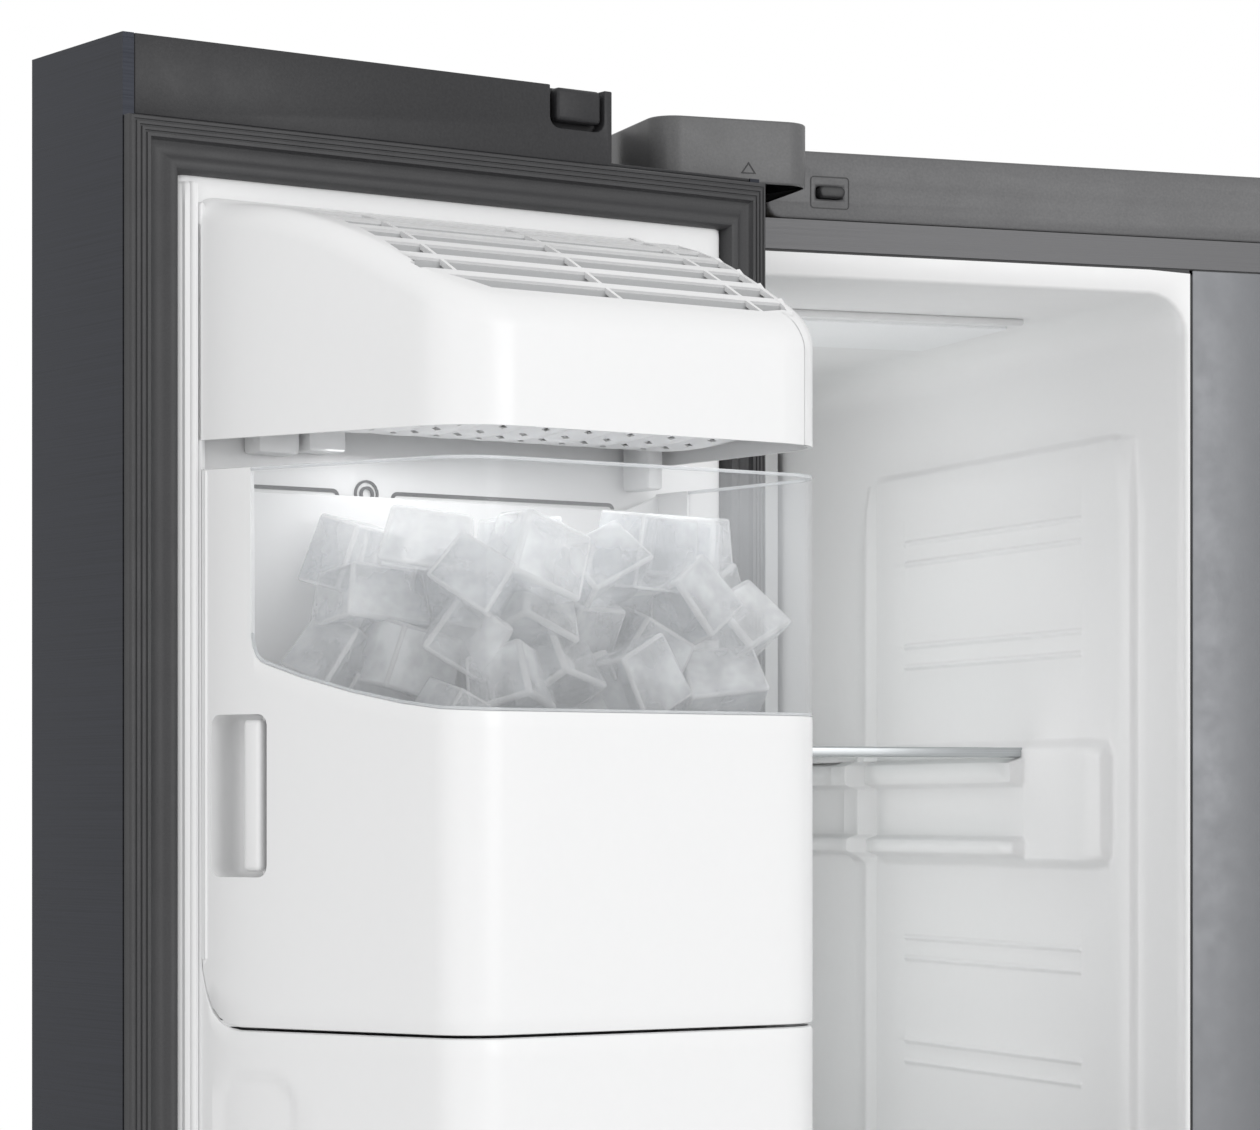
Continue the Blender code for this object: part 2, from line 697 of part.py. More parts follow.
def rear_cover(root):
    """The slotted sheet over the back of the machine compartment."""
    inset = SHEET + CLEAR
    cover = box("rear_cover", (-HALF_WIDTH + inset, CASE_DEPTH - SHEET, BASE_PLATE + 0.004),
                (HALF_WIDTH - inset, CASE_DEPTH, MACHINE_TOP + 0.0035), root, galvanised())
    slot = box("rear_cover_slot", (-0.380, CASE_DEPTH - 0.01, 0.090), (-0.320, CASE_DEPTH + 0.01, 0.096),
               root)
    for name, count, step in (("columns", 9, (0.0875, 0, 0)), ("rows", 6, (0, 0, 0.030))):
        array = slot.modifiers.new(name, "ARRAY")
        array.count = count
        array.use_relative_offset = False
        array.use_constant_offset = True
        array.constant_offset_displace = step
    return cut(cover, slot)


def freezer_duct_cover(root):
    """The panel in front of the evaporator, with rows of air slots."""
    cover = box("freezer_duct_cover", (FREEZER_LEFT + 0.006, 0.622, STEP_HEIGHT + 0.006),
                (FREEZER_RIGHT - 0.006, 0.626, CEILING - 0.006), root, white_plastic())
    middle = (FREEZER_LEFT + FREEZER_RIGHT) / 2
    for i, height in enumerate((1.580, 1.160, 0.760)):
        slot = box(f"duct_slot_{i}", (middle - 0.080, 0.60, height), (middle + 0.080, 0.64, height + 0.006),
                   root)
        array = slot.modifiers.new("rows", "ARRAY")
        array.count = 4
        array.use_relative_offset = False
        array.use_constant_offset = True
        array.constant_offset_displace = (0, 0, 0.013)
        cut(cover, slot)
    return cover


def drawer(name, left, right, level, root):
    """A deep open drawer with a finger lip along its front, sliding on the cabinet's floor."""
    low, high, back = level
    body = open_box(name, (left + DRAWER_SIDE_GAP, DRAWER_FRONT, low), (right - DRAWER_SIDE_GAP, back, high),
                    DRAWER_WALL, root, clear_plastic())
    lip = box(name + "_lip", (left + DRAWER_SIDE_GAP, DRAWER_FRONT - 0.014, high - 0.022),
              (right - DRAWER_SIDE_GAP, DRAWER_FRONT + 0.001, high - 0.018), root)
    edge = box(name + "_lip_edge", (left + DRAWER_SIDE_GAP, DRAWER_FRONT - 0.0165, high - 0.034),
               (right - DRAWER_SIDE_GAP, DRAWER_FRONT - 0.013, high - 0.018), root)
    return add(body, lip, edge)


# The doors. A place on a door is (a, n, z): a from its handle edge, n out of its inner face
# towards the compartment, z above the floor.

Door = namedtuple("Door", "name side width pivot")


def hang_door(name, side, width, root):
    """The empty on the hinge pin's axis, turned to hold the door open."""
    x, y = hinge_place(-side, 0, 0)
    pivot = empty(name + "_hinge_axis", (x, y, 0), root)
    pivot.rotation_euler = (0, 0, -side * OPEN_ANGLE)
    return Door(name, side, width, pivot)


def on_door(door, a, n):
    return (door.side * (door.width - a - PIN_FROM_EDGE), PIN_FROM_INSIDE + n)


def door_box(name, door, low, high, finish=None, parent=None):
    low_corner = (*on_door(door, low[0], low[1]), low[2])
    high_corner = (*on_door(door, high[0], high[1]), high[2])
    return box(name, low_corner, high_corner, parent or door.pivot, finish)


def door_prism(name, door, outline, low, high, finish=None, parent=None):
    return prism(name, [on_door(door, *place) for place in outline], low, high, parent or door.pivot, finish)


def door_rod(name, door, place, z_low, z_high, radius, parent=None, segments=24):
    x, y = on_door(door, *place)
    return cylinder(name, (x, y, z_low), (x, y, z_high), radius, parent or door.pivot, segments=segments)


def cross_rod(name, door, a_ends, n, z, radius, finish=None, parent=None, segments=24):
    """A cylinder that lies along the door's width."""
    start = (*on_door(door, a_ends[0], n), z)
    end = (*on_door(door, a_ends[1], n), z)
    return cylinder(name, start, end, radius, parent or door.pivot, finish, segments)


def door_skin(door):
    """The folded steel skin: front, both edges and the bottom, with a return on the inner face."""
    width, outer = door.width, -DOOR_THICKNESS
    skin = door_box(door.name + "_skin", door, (0, outer, DOOR_BOTTOM), (width, 0, HEIGHT), dark_steel())
    cut(skin, door_box(door.name + "_skin_inside", door, (SHEET, outer + SHEET, DOOR_BOTTOM + SHEET),
                       (width - SHEET, -SHEET, HEIGHT + 0.01)))
    cut(skin, door_box(door.name + "_skin_mouth", door, (RETURN_WIDTH, -0.0015, DOOR_BOTTOM - 0.01),
                       (width - RETURN_WIDTH, 0.01, HEIGHT + 0.01)))
    add(skin, door_box(door.name + "_pocket", door,
                       (POCKET_LEFT - POCKET_WALL, outer + SHEET / 2, POCKET_BOTTOM - POCKET_WALL),
                       (POCKET_RIGHT + POCKET_WALL, outer + POCKET_DEPTH + POCKET_WALL,
                        POCKET_TOP + POCKET_WALL)))
    cut(skin, door_box(door.name + "_pocket_inside", door, (POCKET_LEFT, outer - 0.01, POCKET_BOTTOM),
                       (POCKET_RIGHT, outer + POCKET_DEPTH, POCKET_TOP)))
    cut(skin,
        door_box(door.name + "_skin_side_notch", door, (width - NOTCH_WIDTH, outer + 0.004, NOTCH_FLOOR),
                 (width + 0.01, 0.01, HEIGHT + 0.01)),
        door_box(door.name + "_skin_front_notch", door, (width - SKIN_NOTCH_WIDTH, outer - 0.01, NOTCH_FLOOR),
                 (width + 0.01, outer + 0.006, HEIGHT + 0.01)))
    pin = (width - PIN_FROM_EDGE, -PIN_FROM_INSIDE)
    cut(skin, door_rod(door.name + "_skin_pin_hole", door, pin, DOOR_BOTTOM - 0.01, DOOR_BOTTOM + 0.01,
                       0.007))
    return skin


def top_cap(door):
    """The plastic cap in the top of the door, cut low at its end for the hinge."""
    width, outer = door.width, -DOOR_THICKNESS
    wall = SHEET + CLEAR
    cap = door_box(door.name + "_top_cap", door, (wall, outer + wall, CAP_BOTTOM),
                   (width - wall, -wall, HEIGHT), dark_plastic())
    edge = RETURN_WIDTH + CLEAR
    add(cap, door_box(door.name + "_cap_face", door, (edge, -0.002, CAP_BOTTOM), (width - edge, 0, HEIGHT)))
    cut(cap, door_box(door.name + "_cap_notch", door, (width - NOTCH_WIDTH, outer + 0.004, NOTCH_FLOOR),
                      (width + 0.01, 0.01, HEIGHT + 0.01)),
        door_box(door.name + "_cap_end_notch", door, (width - SKIN_NOTCH_WIDTH, outer - 0.01, NOTCH_FLOOR),
                 (width + 0.01, outer + 0.006, HEIGHT + 0.01)),
        door_box(door.name + "_cap_underside", door, (0.012, outer + 0.012, CAP_BOTTOM - 0.01),
                 (width - NOTCH_WIDTH - 0.006, -0.012, HEIGHT - 0.003)))
    pin = (width - PIN_FROM_EDGE, -PIN_FROM_INSIDE)
    add(cap, door_rod(door.name + "_cap_boss", door, pin, PIN_BOTTOM - 0.004, NOTCH_FLOOR - 0.0005, 0.012))
    cut(cap, door_rod(door.name + "_cap_bore", door, pin, PIN_BOTTOM - 0.0015, NOTCH_FLOOR + 0.01,
                      HINGE_PIN_RADIUS + 0.0005))
    left = width - NOTCH_WIDTH - 0.040
    right, low, high = left + 0.035, 1.7575, HEIGHT + 0.01
    outline = rounded([(left, low), (right, low), (right, high), (left, high)], [0.006, 0.006, 0, 0])
    finger = prism_on_inner_face(door.name + "_cap_pocket", door, outline, -0.009, 0.005)
    return cut(cap, finger)


def prism_on_inner_face(name, door, outline, n_low, n_high):
    """An outline in (a, z) drawn out through the door's inner face."""
    places = [(on_door(door, a, 0)[0], z) for a, z in outline]
    return prism(name, places, PIN_FROM_INSIDE + n_low, PIN_FROM_INSIDE + n_high, door.pivot, along="Y")


def gasket(door):
    """The magnetic seal round the door's inner face, thinner at the hinge so that it swings clear."""
    width = door.width
    seal = door_box(door.name + "_gasket", door, (0.0005, CLEAR, GASKET_BOTTOM),
                    (width - 0.0005, 0.0097, GASKET_TOP), gasket_rubber())
    inside = door_box(door.name + "_gasket_inside", door, (GASKET_WIDTH, -0.01, GASKET_BOTTOM + GASKET_WIDTH),
                      (width - GASKET_WIDTH, 0.02, GASKET_TOP - GASKET_WIDTH))
    pin = width - PIN_FROM_EDGE
    sweep = [(pin + out, math.sqrt(GASKET_REACH**2 - out**2) - PIN_FROM_INSIDE)
             for out in (0.004, 0.008, 0.012, 0.016, 0.021)]
    past_sweep = door_prism(door.name + "_gasket_sweep", door,
                            sweep + [(pin + 0.021, 0.02), (pin + 0.004, 0.02)], 0.0, HEIGHT)
    return cut(seal, inside, past_sweep)


def ice_outline(inset, back):
    """The plan, (a, n), of the ice maker's cover and of the bucket: its left side slants."""
    slope = (ICE_LEFT_FRONT - ICE_LEFT) / (ICE_FRONT - ICE_BACK)
    front = ICE_FRONT - inset

    def left_side(n):
        return ICE_LEFT + (n - ICE_BACK) * slope + inset * math.hypot(1, slope)

    points = [(left_side(back), back), (left_side(front), front), (ICE_RIGHT - inset, front),
              (ICE_RIGHT - inset, back)]
    return rounded(points, [0, 0.028 - inset, 0.035 - inset, 0], steps=5)


def above_cover(name, door, lower):
    """Everything above the cover's sloping top, moved down by the given amount."""
    curve = [(PIN_FROM_INSIDE + n, z - lower) for n, z in COVER_CURVE]
    curve += [(curve[-1][0] + 0.02, curve[-1][1]), (curve[-1][0] + 0.02, HEIGHT), (curve[0][0], HEIGHT)]
    ends = (on_door(door, 0.36, 0)[0], on_door(door, -0.01, 0)[0])
    return prism(name, curve, min(ends), max(ends), door.pivot, along="X")


def ice_maker_cover(door):
    """The white hood over the ice maker, with air slots through its sloping top."""
    cover = door_prism("ice_maker_cover", door, ice_outline(0, 0.0035), COVER_BOTTOM, COVER_BACK_TOP,
                       white_plastic())
    cut(cover, above_cover("cover_top_cut", door, 0))
    inside = door_prism("cover_inside", door, ice_outline(PLASTIC, -0.01), COVER_BOTTOM - 0.01,
                        COVER_BACK_TOP + 0.01)
    cut(inside, above_cover("cover_inside_cut", door, PLASTIC))
    cut(cover, inside)
    for i in range(6):
        back = 0.050 + 0.016 * i
        cut(cover, door_box(f"cover_slot_{i}", door, (0.150, back, 1.630), (0.305, back + 0.010, 1.720)))
    return cover


def ice_maker(door):
    """The ice maker's motor box, back rail and end arm, which carry the tray's ends."""
    frame = door_box("ice_maker", door, (0.088, 0.030, 1.592), (0.1245, 0.120, 1.650), white_plastic())
    add(frame, door_box("ice_maker_rail", door, (0.088, 0.0040, 1.600), (0.312, 0.012, 1.655)),
        door_box("ice_maker_left_arm", door, (0.090, 0.010, 1.610), (0.110, 0.032, 1.645)),
        door_box("ice_maker_end_arm", door, (0.3035, 0.0045, 1.612), (0.311, 0.085, 1.644)))
    for name, ends in (("motor_bore", (0.115, 0.130)), ("arm_bore", (0.300, 0.315))):
        cut(frame, cross_rod("ice_maker_" + name, door, ends, TRAY_AXIS_N, TRAY_AXIS_Z, 0.0046))
    return frame


def ice_tray(door):
    """The tray of eight cells that turns over to drop its ice."""
    x, y = on_door(door, TRAY_LEFT, TRAY_AXIS_N)
    axis = empty("ice_tray_axis", (x, y, TRAY_AXIS_Z), door.pivot)
    length = door.side * (TRAY_LEFT - TRAY_RIGHT)
    tray = box("ice_tray", (0, -0.038, -0.025), (length, 0.038, 0.007), axis, grey_plastic())
    columns, rows, wall = 4, 2, 0.003
    pitch_x = (abs(length) - wall) / columns
    pitch_y = (0.076 - wall) / rows
    for i in range(columns):
        for j in range(rows):
            near = -(wall + i * pitch_x) if length < 0 else wall + i * pitch_x
            far = near + math.copysign(pitch_x - wall, length)
            low = -0.038 + wall + j * pitch_y
            cut(tray, box(f"ice_cell_{i}_{j}", (near, low, -0.021), (far, low + pitch_y - wall, 0.02), axis))
    sign = math.copysign(1, length)
    for name, start, end in (("near", -0.0070, 0.004), ("far", abs(length) - 0.004, abs(length) + 0.0075)):
        add(tray, cylinder(f"ice_tray_{name}_pin", (sign * start, 0, 0), (sign * end, 0, 0), 0.004, axis))
    return tray


def bucket_slide(door):
    return empty("ice_bucket_slide", (0, 0, 0), door.pivot)


def ice_bucket(door, slide):
    """The white bucket under the ice maker, with a grip in its slanting side and a chute hole."""
    bucket = door_prism("ice_bucket", door, ice_outline(0, ICE_BACK), BUCKET_BOTTOM, BUCKET_TOP,
                        white_plastic(), slide)
    cut(bucket, door_prism("bucket_inside", door, ice_outline(PLASTIC, ICE_BACK + PLASTIC),
                           BUCKET_BOTTOM + PLASTIC, BUCKET_TOP + 0.01, None, slide))
    cut(bucket,
        door_box("bucket_window_cut", door, (-0.01, WINDOW_BACK, WINDOW_BOTTOM), (0.35, 0.2, 1.6),
                 parent=slide),
        door_box("bucket_chute_hole", door, (CHUTE_A[0], CHUTE_N[0], 1.28), (CHUTE_A[1], CHUTE_N[1], 1.30),
                 parent=slide))
    slope = (ICE_LEFT_FRONT - ICE_LEFT) / (ICE_FRONT - ICE_BACK)
    middle_n = 0.0317
    x, y = on_door(door, ICE_LEFT + (middle_n - ICE_BACK) * slope, middle_n)
    face = empty("bucket_grip_frame", (x, y, 0), slide)
    face.rotation_euler = (0, 0, math.atan2(1, -slope * door.side))
    add(bucket, box("grip_block", (-0.0200, 0.0005, 1.3620), (0.0200, 0.0240, 1.4450), face))
    cut(bucket, box("grip_hollow", (-0.0175, -0.01, 1.3647), (0.0175, 0.0220, 1.4430), face))
    return add(bucket, box("grip_bar", (0.0017, 0.0015, 1.3630), (0.0135, 0.0060, 1.4440), face))


def ice_bucket_window(door, slide):
    """The clear band round the bucket's top that shows the ice."""
    low = WINDOW_BOTTOM + CLEAR
    window = door_prism("ice_bucket_window", door, ice_outline(0, ICE_BACK), low, BUCKET_TOP, clear_plastic(),
                        slide)
    cut(window, door_prism("window_inside", door, ice_outline(PLASTIC, -0.01), low - 0.01, BUCKET_TOP + 0.01,
                           None, slide))
    return cut(window, door_box("window_back_cut", door, (-0.01, -0.02, low - 0.02),
                                (0.35, WINDOW_BACK + CLEAR, BUCKET_TOP + 0.02), None, slide))


def ice_auger(door, slide):
    """The upright shaft and blades at the bottom of the bucket that push ice to the chute."""
    x, y = on_door(door, AUGER_A, AUGER_N)
    low = BUCKET_BOTTOM + PLASTIC + 0.0006
    axis = empty("ice_auger_axis", (x, y, low), slide)
    auger = cylinder("ice_auger", (0, 0, 0), (0, 0, 0.140), 0.006, axis, galvanised(), segments=16)
    for i, height in enumerate((0.004, 0.018)):
        blade = box(f"auger_blade_{i}", (-AUGER_RADIUS, -0.006, height),
                    (AUGER_RADIUS, 0.006, height + 0.003), axis)
        blade.rotation_euler = (0, 0, math.radians(60 * i))
        add(auger, blade)
    for i, height in enumerate((0.075, 0.125)):
        turn = math.radians(90 * i + 30)
        reach = Vector((math.cos(turn), math.sin(turn), 0)) * 0.048
        centre = Vector((0, 0, height))
        add(auger, cylinder(f"auger_wire_{i}", centre - reach, centre + reach, 0.0025, axis, segments=10))
    return auger


def dispenser_housing(door):
    """The alcove in the door's outer face where a glass is filled, with ears for the paddle."""
    outer = -DOOR_THICKNESS
    back = outer + ALCOVE_DEPTH
    wall = PLASTIC
    housing = door_box("dispenser_housing", door, (ALCOVE_LEFT - wall, outer - 0.002, ALCOVE_BOTTOM - wall),
                       (ALCOVE_RIGHT + wall, back + wall, ALCOVE_TOP + wall), dark_plastic())
    add(housing, door_box("dispenser_bezel", door,
                          (ALCOVE_LEFT - BEZEL, outer - 0.0025, ALCOVE_BOTTOM - BEZEL),
                          (ALCOVE_RIGHT + BEZEL, outer - CLEAR, ALCOVE_TOP + 0.0055)))
    cut(housing, door_box("alcove", door, (ALCOVE_LEFT, outer - 0.02, ALCOVE_BOTTOM),
                          (ALCOVE_RIGHT, back, ALCOVE_TOP)),
        door_box("alcove_chute", door, (CHUTE_A[0], outer + 0.020, ALCOVE_TOP - 0.01),
                 (CHUTE_A[1], outer + 0.060, ALCOVE_TOP + 0.02)))
    for i, a in enumerate((0.162, 0.243)):
        add(housing, door_box(f"paddle_ear_{i}", door,
                              (a - 0.0025, PADDLE_HINGE_N - 0.007, PADDLE_HINGE_Z - 0.007),
                              (a + 0.0025, back + 0.001, ALCOVE_TOP + 0.001)))
    return cut(housing, cross_rod("paddle_bore", door, (0.155, 0.250), PADDLE_HINGE_N, PADDLE_HINGE_Z,
                                  0.0035))


def dispenser_paddle(door):
    """The paddle that a glass pushes back to call for ice."""
    x, y = on_door(door, 0.2025, PADDLE_HINGE_N)
    axis = empty("dispenser_paddle_axis", (x, y, PADDLE_HINGE_Z), door.pivot)
    paddle = cylinder("dispenser_paddle", (-0.043, 0, 0), (0.043, 0, 0), 0.003, axis, dark_plastic())
    return add(paddle, box("paddle_plate", (-0.030, -0.002, -0.125), (0.030, 0.0015, 0.001), axis))


def dispenser_panel(door):
    """The flat control panel above the alcove."""
    outer = -DOOR_THICKNESS
    return door_box("dispenser_panel", door, (ALCOVE_LEFT - BEZEL, outer - 0.0025, ALCOVE_TOP + 0.0060),
                    (ALCOVE_RIGHT + BEZEL, outer - CLEAR, PANEL_TOP), black_glass())


def chute_channel(door):
    """The slanting way for ice from the bucket down to the alcove."""
    middle_n = (CHUTE_N[0] + CHUTE_N[1]) / 2
    top = Vector((*on_door(door, sum(CHUTE_A) / 2, middle_n), BUCKET_BOTTOM + 0.02))
    low = Vector((*on_door(door, sum(CHUTE_A) / 2, -DOOR_THICKNESS + 0.040), ALCOVE_TOP - 0.02))
    return cylinder("chute_channel", low, top, 0.026, door.pivot, segments=20)


def door_foam(door, extra_cuts=()):
    """The foam that fills the door between its skin and its liner."""
    width, outer = door.width, -DOOR_THICKNESS
    wall = SHEET + CLEAR
    body = door_box(door.name + "_foam", door, (wall, outer + wall, DOOR_BOTTOM + wall),
                    (width - wall, -0.0028, CAP_BOTTOM - CLEAR), foam())
    pin = (width - PIN_FROM_EDGE, -PIN_FROM_INSIDE)
    reach = POCKET_WALL + CLEAR
    cut(body,
        door_rod(door.name + "_foam_top_hole", door, pin, PIN_BOTTOM - 0.006, CAP_BOTTOM + 0.01, 0.0130),
        door_rod(door.name + "_foam_bottom_hole", door, pin, DOOR_BOTTOM - 0.01, BOTTOM_PIN_TOP + 0.004,
                 0.0075),
        door_box(door.name + "_foam_pocket", door, (POCKET_LEFT - reach, outer - 0.01, POCKET_BOTTOM - reach),
                 (POCKET_RIGHT + reach, outer + POCKET_DEPTH + reach, POCKET_TOP + reach)))
    return cut(body, *extra_cuts)


def freezer_foam_cuts(door):
    outer = -DOOR_THICKNESS
    reach = PLASTIC + CLEAR
    alcove = door_box("foam_alcove", door, (ALCOVE_LEFT - reach, outer - 0.01, ALCOVE_BOTTOM - reach),
                      (ALCOVE_RIGHT + reach, outer + ALCOVE_DEPTH + reach, ALCOVE_TOP + reach))
    return [alcove, chute_channel(door)]


def door_liner(door, dykes):
    """The white inner panel: a plate under the gasket, a raised pan and a dyke down each side."""
    width = door.width
    body = door_box(door.name + "_liner", door, (0.0072, -0.0024, 0.066), (width - 0.0072, -0.0004, 1.7355),
                    white_plastic())
    inset = GASKET_WIDTH + 0.001
    add(body, door_box(door.name + "_pan", door, (inset, -0.0022, GASKET_BOTTOM + inset),
                       (width - inset, 0.003, GASKET_TOP - inset)))
    for name, low in (("handle", dykes[0]), ("hinge", dykes[1] - DYKE_WIDTH)):
        add(body, door_box(f"{door.name}_{name}_dyke", door, (low, 0, 0.130),
                           (low + DYKE_WIDTH, DYKE_DEPTH, DYKE_TOP[door.name])))
    return body


def add_ice_bulge(door, body):
    """The hollow bulge below the bucket, over the dispenser, with the chute's hole in its top."""
    add(body, door_prism("bulge", door, ice_outline(0, -0.001), BULGE_BOTTOM, BULGE_TOP))
    cut(body, door_prism("bulge_inside", door, ice_outline(PLASTIC, -0.02), BULGE_BOTTOM + PLASTIC,
                         BULGE_TOP - PLASTIC),
        door_box("bulge_chute_hole", door, (CHUTE_A[0], CHUTE_N[0], BULGE_TOP - 0.02),
                 (CHUTE_A[1], CHUTE_N[1], BULGE_TOP + 0.01)))
    return add(body, door_box("ice_side_ridge", door, (0.0290, 0.001, BULGE_TOP), (0.0365, 0.012, 1.700)))


def door_bin(name, door, level, dykes):
    """An open bin that hangs between the door's two dykes."""
    low, high, depth = level
    gap = 0.002
    first = on_door(door, dykes[0] + DYKE_WIDTH + gap, 0.0036)
    last = on_door(door, dykes[1] - DYKE_WIDTH - gap, depth)
    return open_box(name, (*first, low), (*last, high), DRAWER_WALL, door.pivot, clear_plastic())


def build_cabinet(root):
    outer_case(root)
    back_panel(root)
    base_frame(root)
    insulation_foam(root)
    liner("freezer_liner", FREEZER_LEFT, FREEZER_RIGHT, -HALF_WIDTH + SIDE_FLANGE + CLEAR,
          MULLION_LEFT - CLEAR, FREEZER_SHELVES.values(), root)
    liner("fridge_liner", FRIDGE_LEFT, FRIDGE_RIGHT, MULLION_RIGHT + CLEAR,
          HALF_WIDTH - SIDE_FLANGE - CLEAR, [*FRIDGE_SHELVES.values(), CRISPER_COVER_Z], root)
    front_rail(root)
    center_mullion(root)
    top_table(root)
    toe_grille(root)
    compressor(root)
    rear_cover(root)
    freezer_duct_cover(root)
    condenser_fan(root)
    for word, top in FREEZER_SHELVES.items():
        shelf("freezer_shelf_" + word, FREEZER_LEFT, FREEZER_RIGHT, top, root)
    for word, top in FRIDGE_SHELVES.items():
        shelf("fridge_shelf_" + word, FRIDGE_LEFT, FRIDGE_RIGHT, top, root)
    shelf("crisper_cover", FRIDGE_LEFT, FRIDGE_RIGHT, CRISPER_COVER_Z, root)
    for word, level in DRAWER_LEVELS.items():
        drawer("freezer_drawer_" + word, FREEZER_LEFT, FREEZER_RIGHT, level, root)
        drawer("crisper_" + word, FRIDGE_LEFT, FRIDGE_RIGHT, level, root)
    for word, side in (("left", -1), ("right", 1)):
        hinge_cover("hinge_cover_" + word, side, root)
        top_hinge("top_hinge_" + word, side, root)
        bottom_hinge("bottom_hinge_" + word, side, root)
        roller("rear_roller_" + word, side * ROLLER_X, root)
        leveling_leg("leveling_leg_" + word, side * FOOT_X, root)
    door_switch("freezer_door_switch", -1, root)
    door_switch("fridge_door_switch", 1, root)


def build_freezer_door(root):
    door = hang_door("freezer_door", 1, FREEZER_DOOR_WIDTH, root)
    skin = door_skin(door)
    reach = PLASTIC + CLEAR
    outer = -DOOR_THICKNESS
    cut(skin, door_box("skin_alcove", door, (ALCOVE_LEFT - reach, outer - 0.01, ALCOVE_BOTTOM - reach),
                       (ALCOVE_RIGHT + reach, outer + 0.01, ALCOVE_TOP + reach)))
    top_cap(door)
    door_foam(door, freezer_foam_cuts(door))
    add_ice_bulge(door, door_liner(door, FREEZER_DYKES))
    gasket(door)
    ice_maker_cover(door)
    ice_maker(door)
    ice_tray(door)
    slide = bucket_slide(door)
    ice_bucket(door, slide)
    ice_bucket_window(door, slide)
    ice_auger(door, slide)
    dispenser_housing(door)
    dispenser_paddle(door)
    dispenser_panel(door)
    for word, level in FREEZER_BINS.items():
        door_bin("freezer_door_bin_" + word, door, level, FREEZER_DYKES)


def build_fridge_door(root):
    door = hang_door("fridge_door", -1, FRIDGE_DOOR_WIDTH, root)
    door_skin(door)
    top_cap(door)
    door_foam(door)
    door_liner(door, FRIDGE_DYKES)
    gasket(door)
    for word, level in FRIDGE_BINS.items():
        door_bin("fridge_door_bin_" + word, door, level, FRIDGE_DYKES)


def centre_base(root):
    """Moves the root so that the bottom centre of everything is at the origin."""
    bpy.context.view_layer.update()
    graph = bpy.context.evaluated_depsgraph_get()
    low, high = Vector((1e9,) * 3), Vector((-1e9,) * 3)
    for obj in bpy.data.collections[BODY].objects:
        if obj.type != "MESH":
            continue
        whole = obj.evaluated_get(graph)
        for vertex in whole.data.vertices:
            place = whole.matrix_world @ vertex.co
            low = Vector(map(min, low, place))
            high = Vector(map(max, high, place))
    root.location = (-(low.x + high.x) / 2, -(low.y + high.y) / 2, -low.z)


def main():
    clear_scene()
    new_collection(BODY)
    new_collection(CUTTERS)
    root = empty("refrigerator_base", (0, 0, 0))
    build_cabinet(root)
    build_freezer_door(root)
    build_fridge_door(root)
    centre_base(root)
    bpy.context.view_layer.update()


main()
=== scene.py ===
"""The looks of a side by side refrigerator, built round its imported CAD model.

Cabinet coordinates: x from the cabinet's middle, y from its front plane backwards, z up.
Door coordinates: a from the door's handle edge, n out of its inner face, z up.
Lengths are in metres.
"""

import json
import math
import random

import bmesh
import bpy
from mathutils import Euler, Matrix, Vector

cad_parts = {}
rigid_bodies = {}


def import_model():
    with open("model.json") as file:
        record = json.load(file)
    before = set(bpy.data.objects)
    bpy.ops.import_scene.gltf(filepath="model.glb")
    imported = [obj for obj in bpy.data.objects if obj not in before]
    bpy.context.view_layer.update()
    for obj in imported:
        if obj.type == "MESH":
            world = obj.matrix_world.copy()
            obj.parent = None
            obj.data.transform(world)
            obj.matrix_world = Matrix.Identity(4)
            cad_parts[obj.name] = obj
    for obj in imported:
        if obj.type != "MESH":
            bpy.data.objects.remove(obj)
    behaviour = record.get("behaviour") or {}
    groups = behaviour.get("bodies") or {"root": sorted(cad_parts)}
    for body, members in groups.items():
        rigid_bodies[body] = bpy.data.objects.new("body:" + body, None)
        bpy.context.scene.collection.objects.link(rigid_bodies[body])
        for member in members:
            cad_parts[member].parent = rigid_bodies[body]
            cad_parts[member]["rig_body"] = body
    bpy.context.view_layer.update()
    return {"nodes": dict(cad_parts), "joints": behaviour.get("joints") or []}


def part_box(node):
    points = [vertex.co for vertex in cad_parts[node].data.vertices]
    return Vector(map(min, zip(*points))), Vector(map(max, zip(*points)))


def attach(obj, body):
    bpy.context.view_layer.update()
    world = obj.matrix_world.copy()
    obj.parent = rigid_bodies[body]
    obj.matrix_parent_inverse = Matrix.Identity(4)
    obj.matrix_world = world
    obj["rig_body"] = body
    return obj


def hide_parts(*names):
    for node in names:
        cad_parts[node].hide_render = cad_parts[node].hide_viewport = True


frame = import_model()
NODES = frame["nodes"]
JOINTS = {joint["name"]: joint for joint in frame["joints"]}

PIN_FROM_EDGE = 0.02
PIN_FROM_INSIDE = 0.058
FREEZER_DOOR_WIDTH = 0.395
FRIDGE_DOOR_WIDTH = 0.511
QUARTER = math.pi / 2
UPWARDS, BACKWARDS, TO_ROOM = Vector((0, 0, 1)), Vector((0, 1, 0)), Vector((0, -1, 0))


# Places.

CASE_LOW, CASE_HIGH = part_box("outer_case")
CASE_MIDDLE = (CASE_LOW.x + CASE_HIGH.x) / 2


def cabinet(x, y, z):
    return Vector((CASE_MIDDLE + x, CASE_LOW.y + y, z))


def on_front(x, depth, z):
    """A place on the cabinet's front, with depth measured out towards the viewer."""
    return cabinet(x, -depth, z)


def door_frame(joint, side, width):
    """The function from door coordinates to the world, for a door held open at rest."""
    pin = Vector(JOINTS[joint]["pos_m"][:2])
    out = Vector(JOINTS["ice_bucket_lift_out"]["axis"][:2]).normalized()
    out.x *= side
    to_handle = Vector((out.y * side, -out.x * side))

    def place(a, n, z):
        flat = pin + to_handle * (width - a - PIN_FROM_EDGE) + out * (PIN_FROM_INSIDE + n)
        return Vector((flat.x, flat.y, z))

    return place


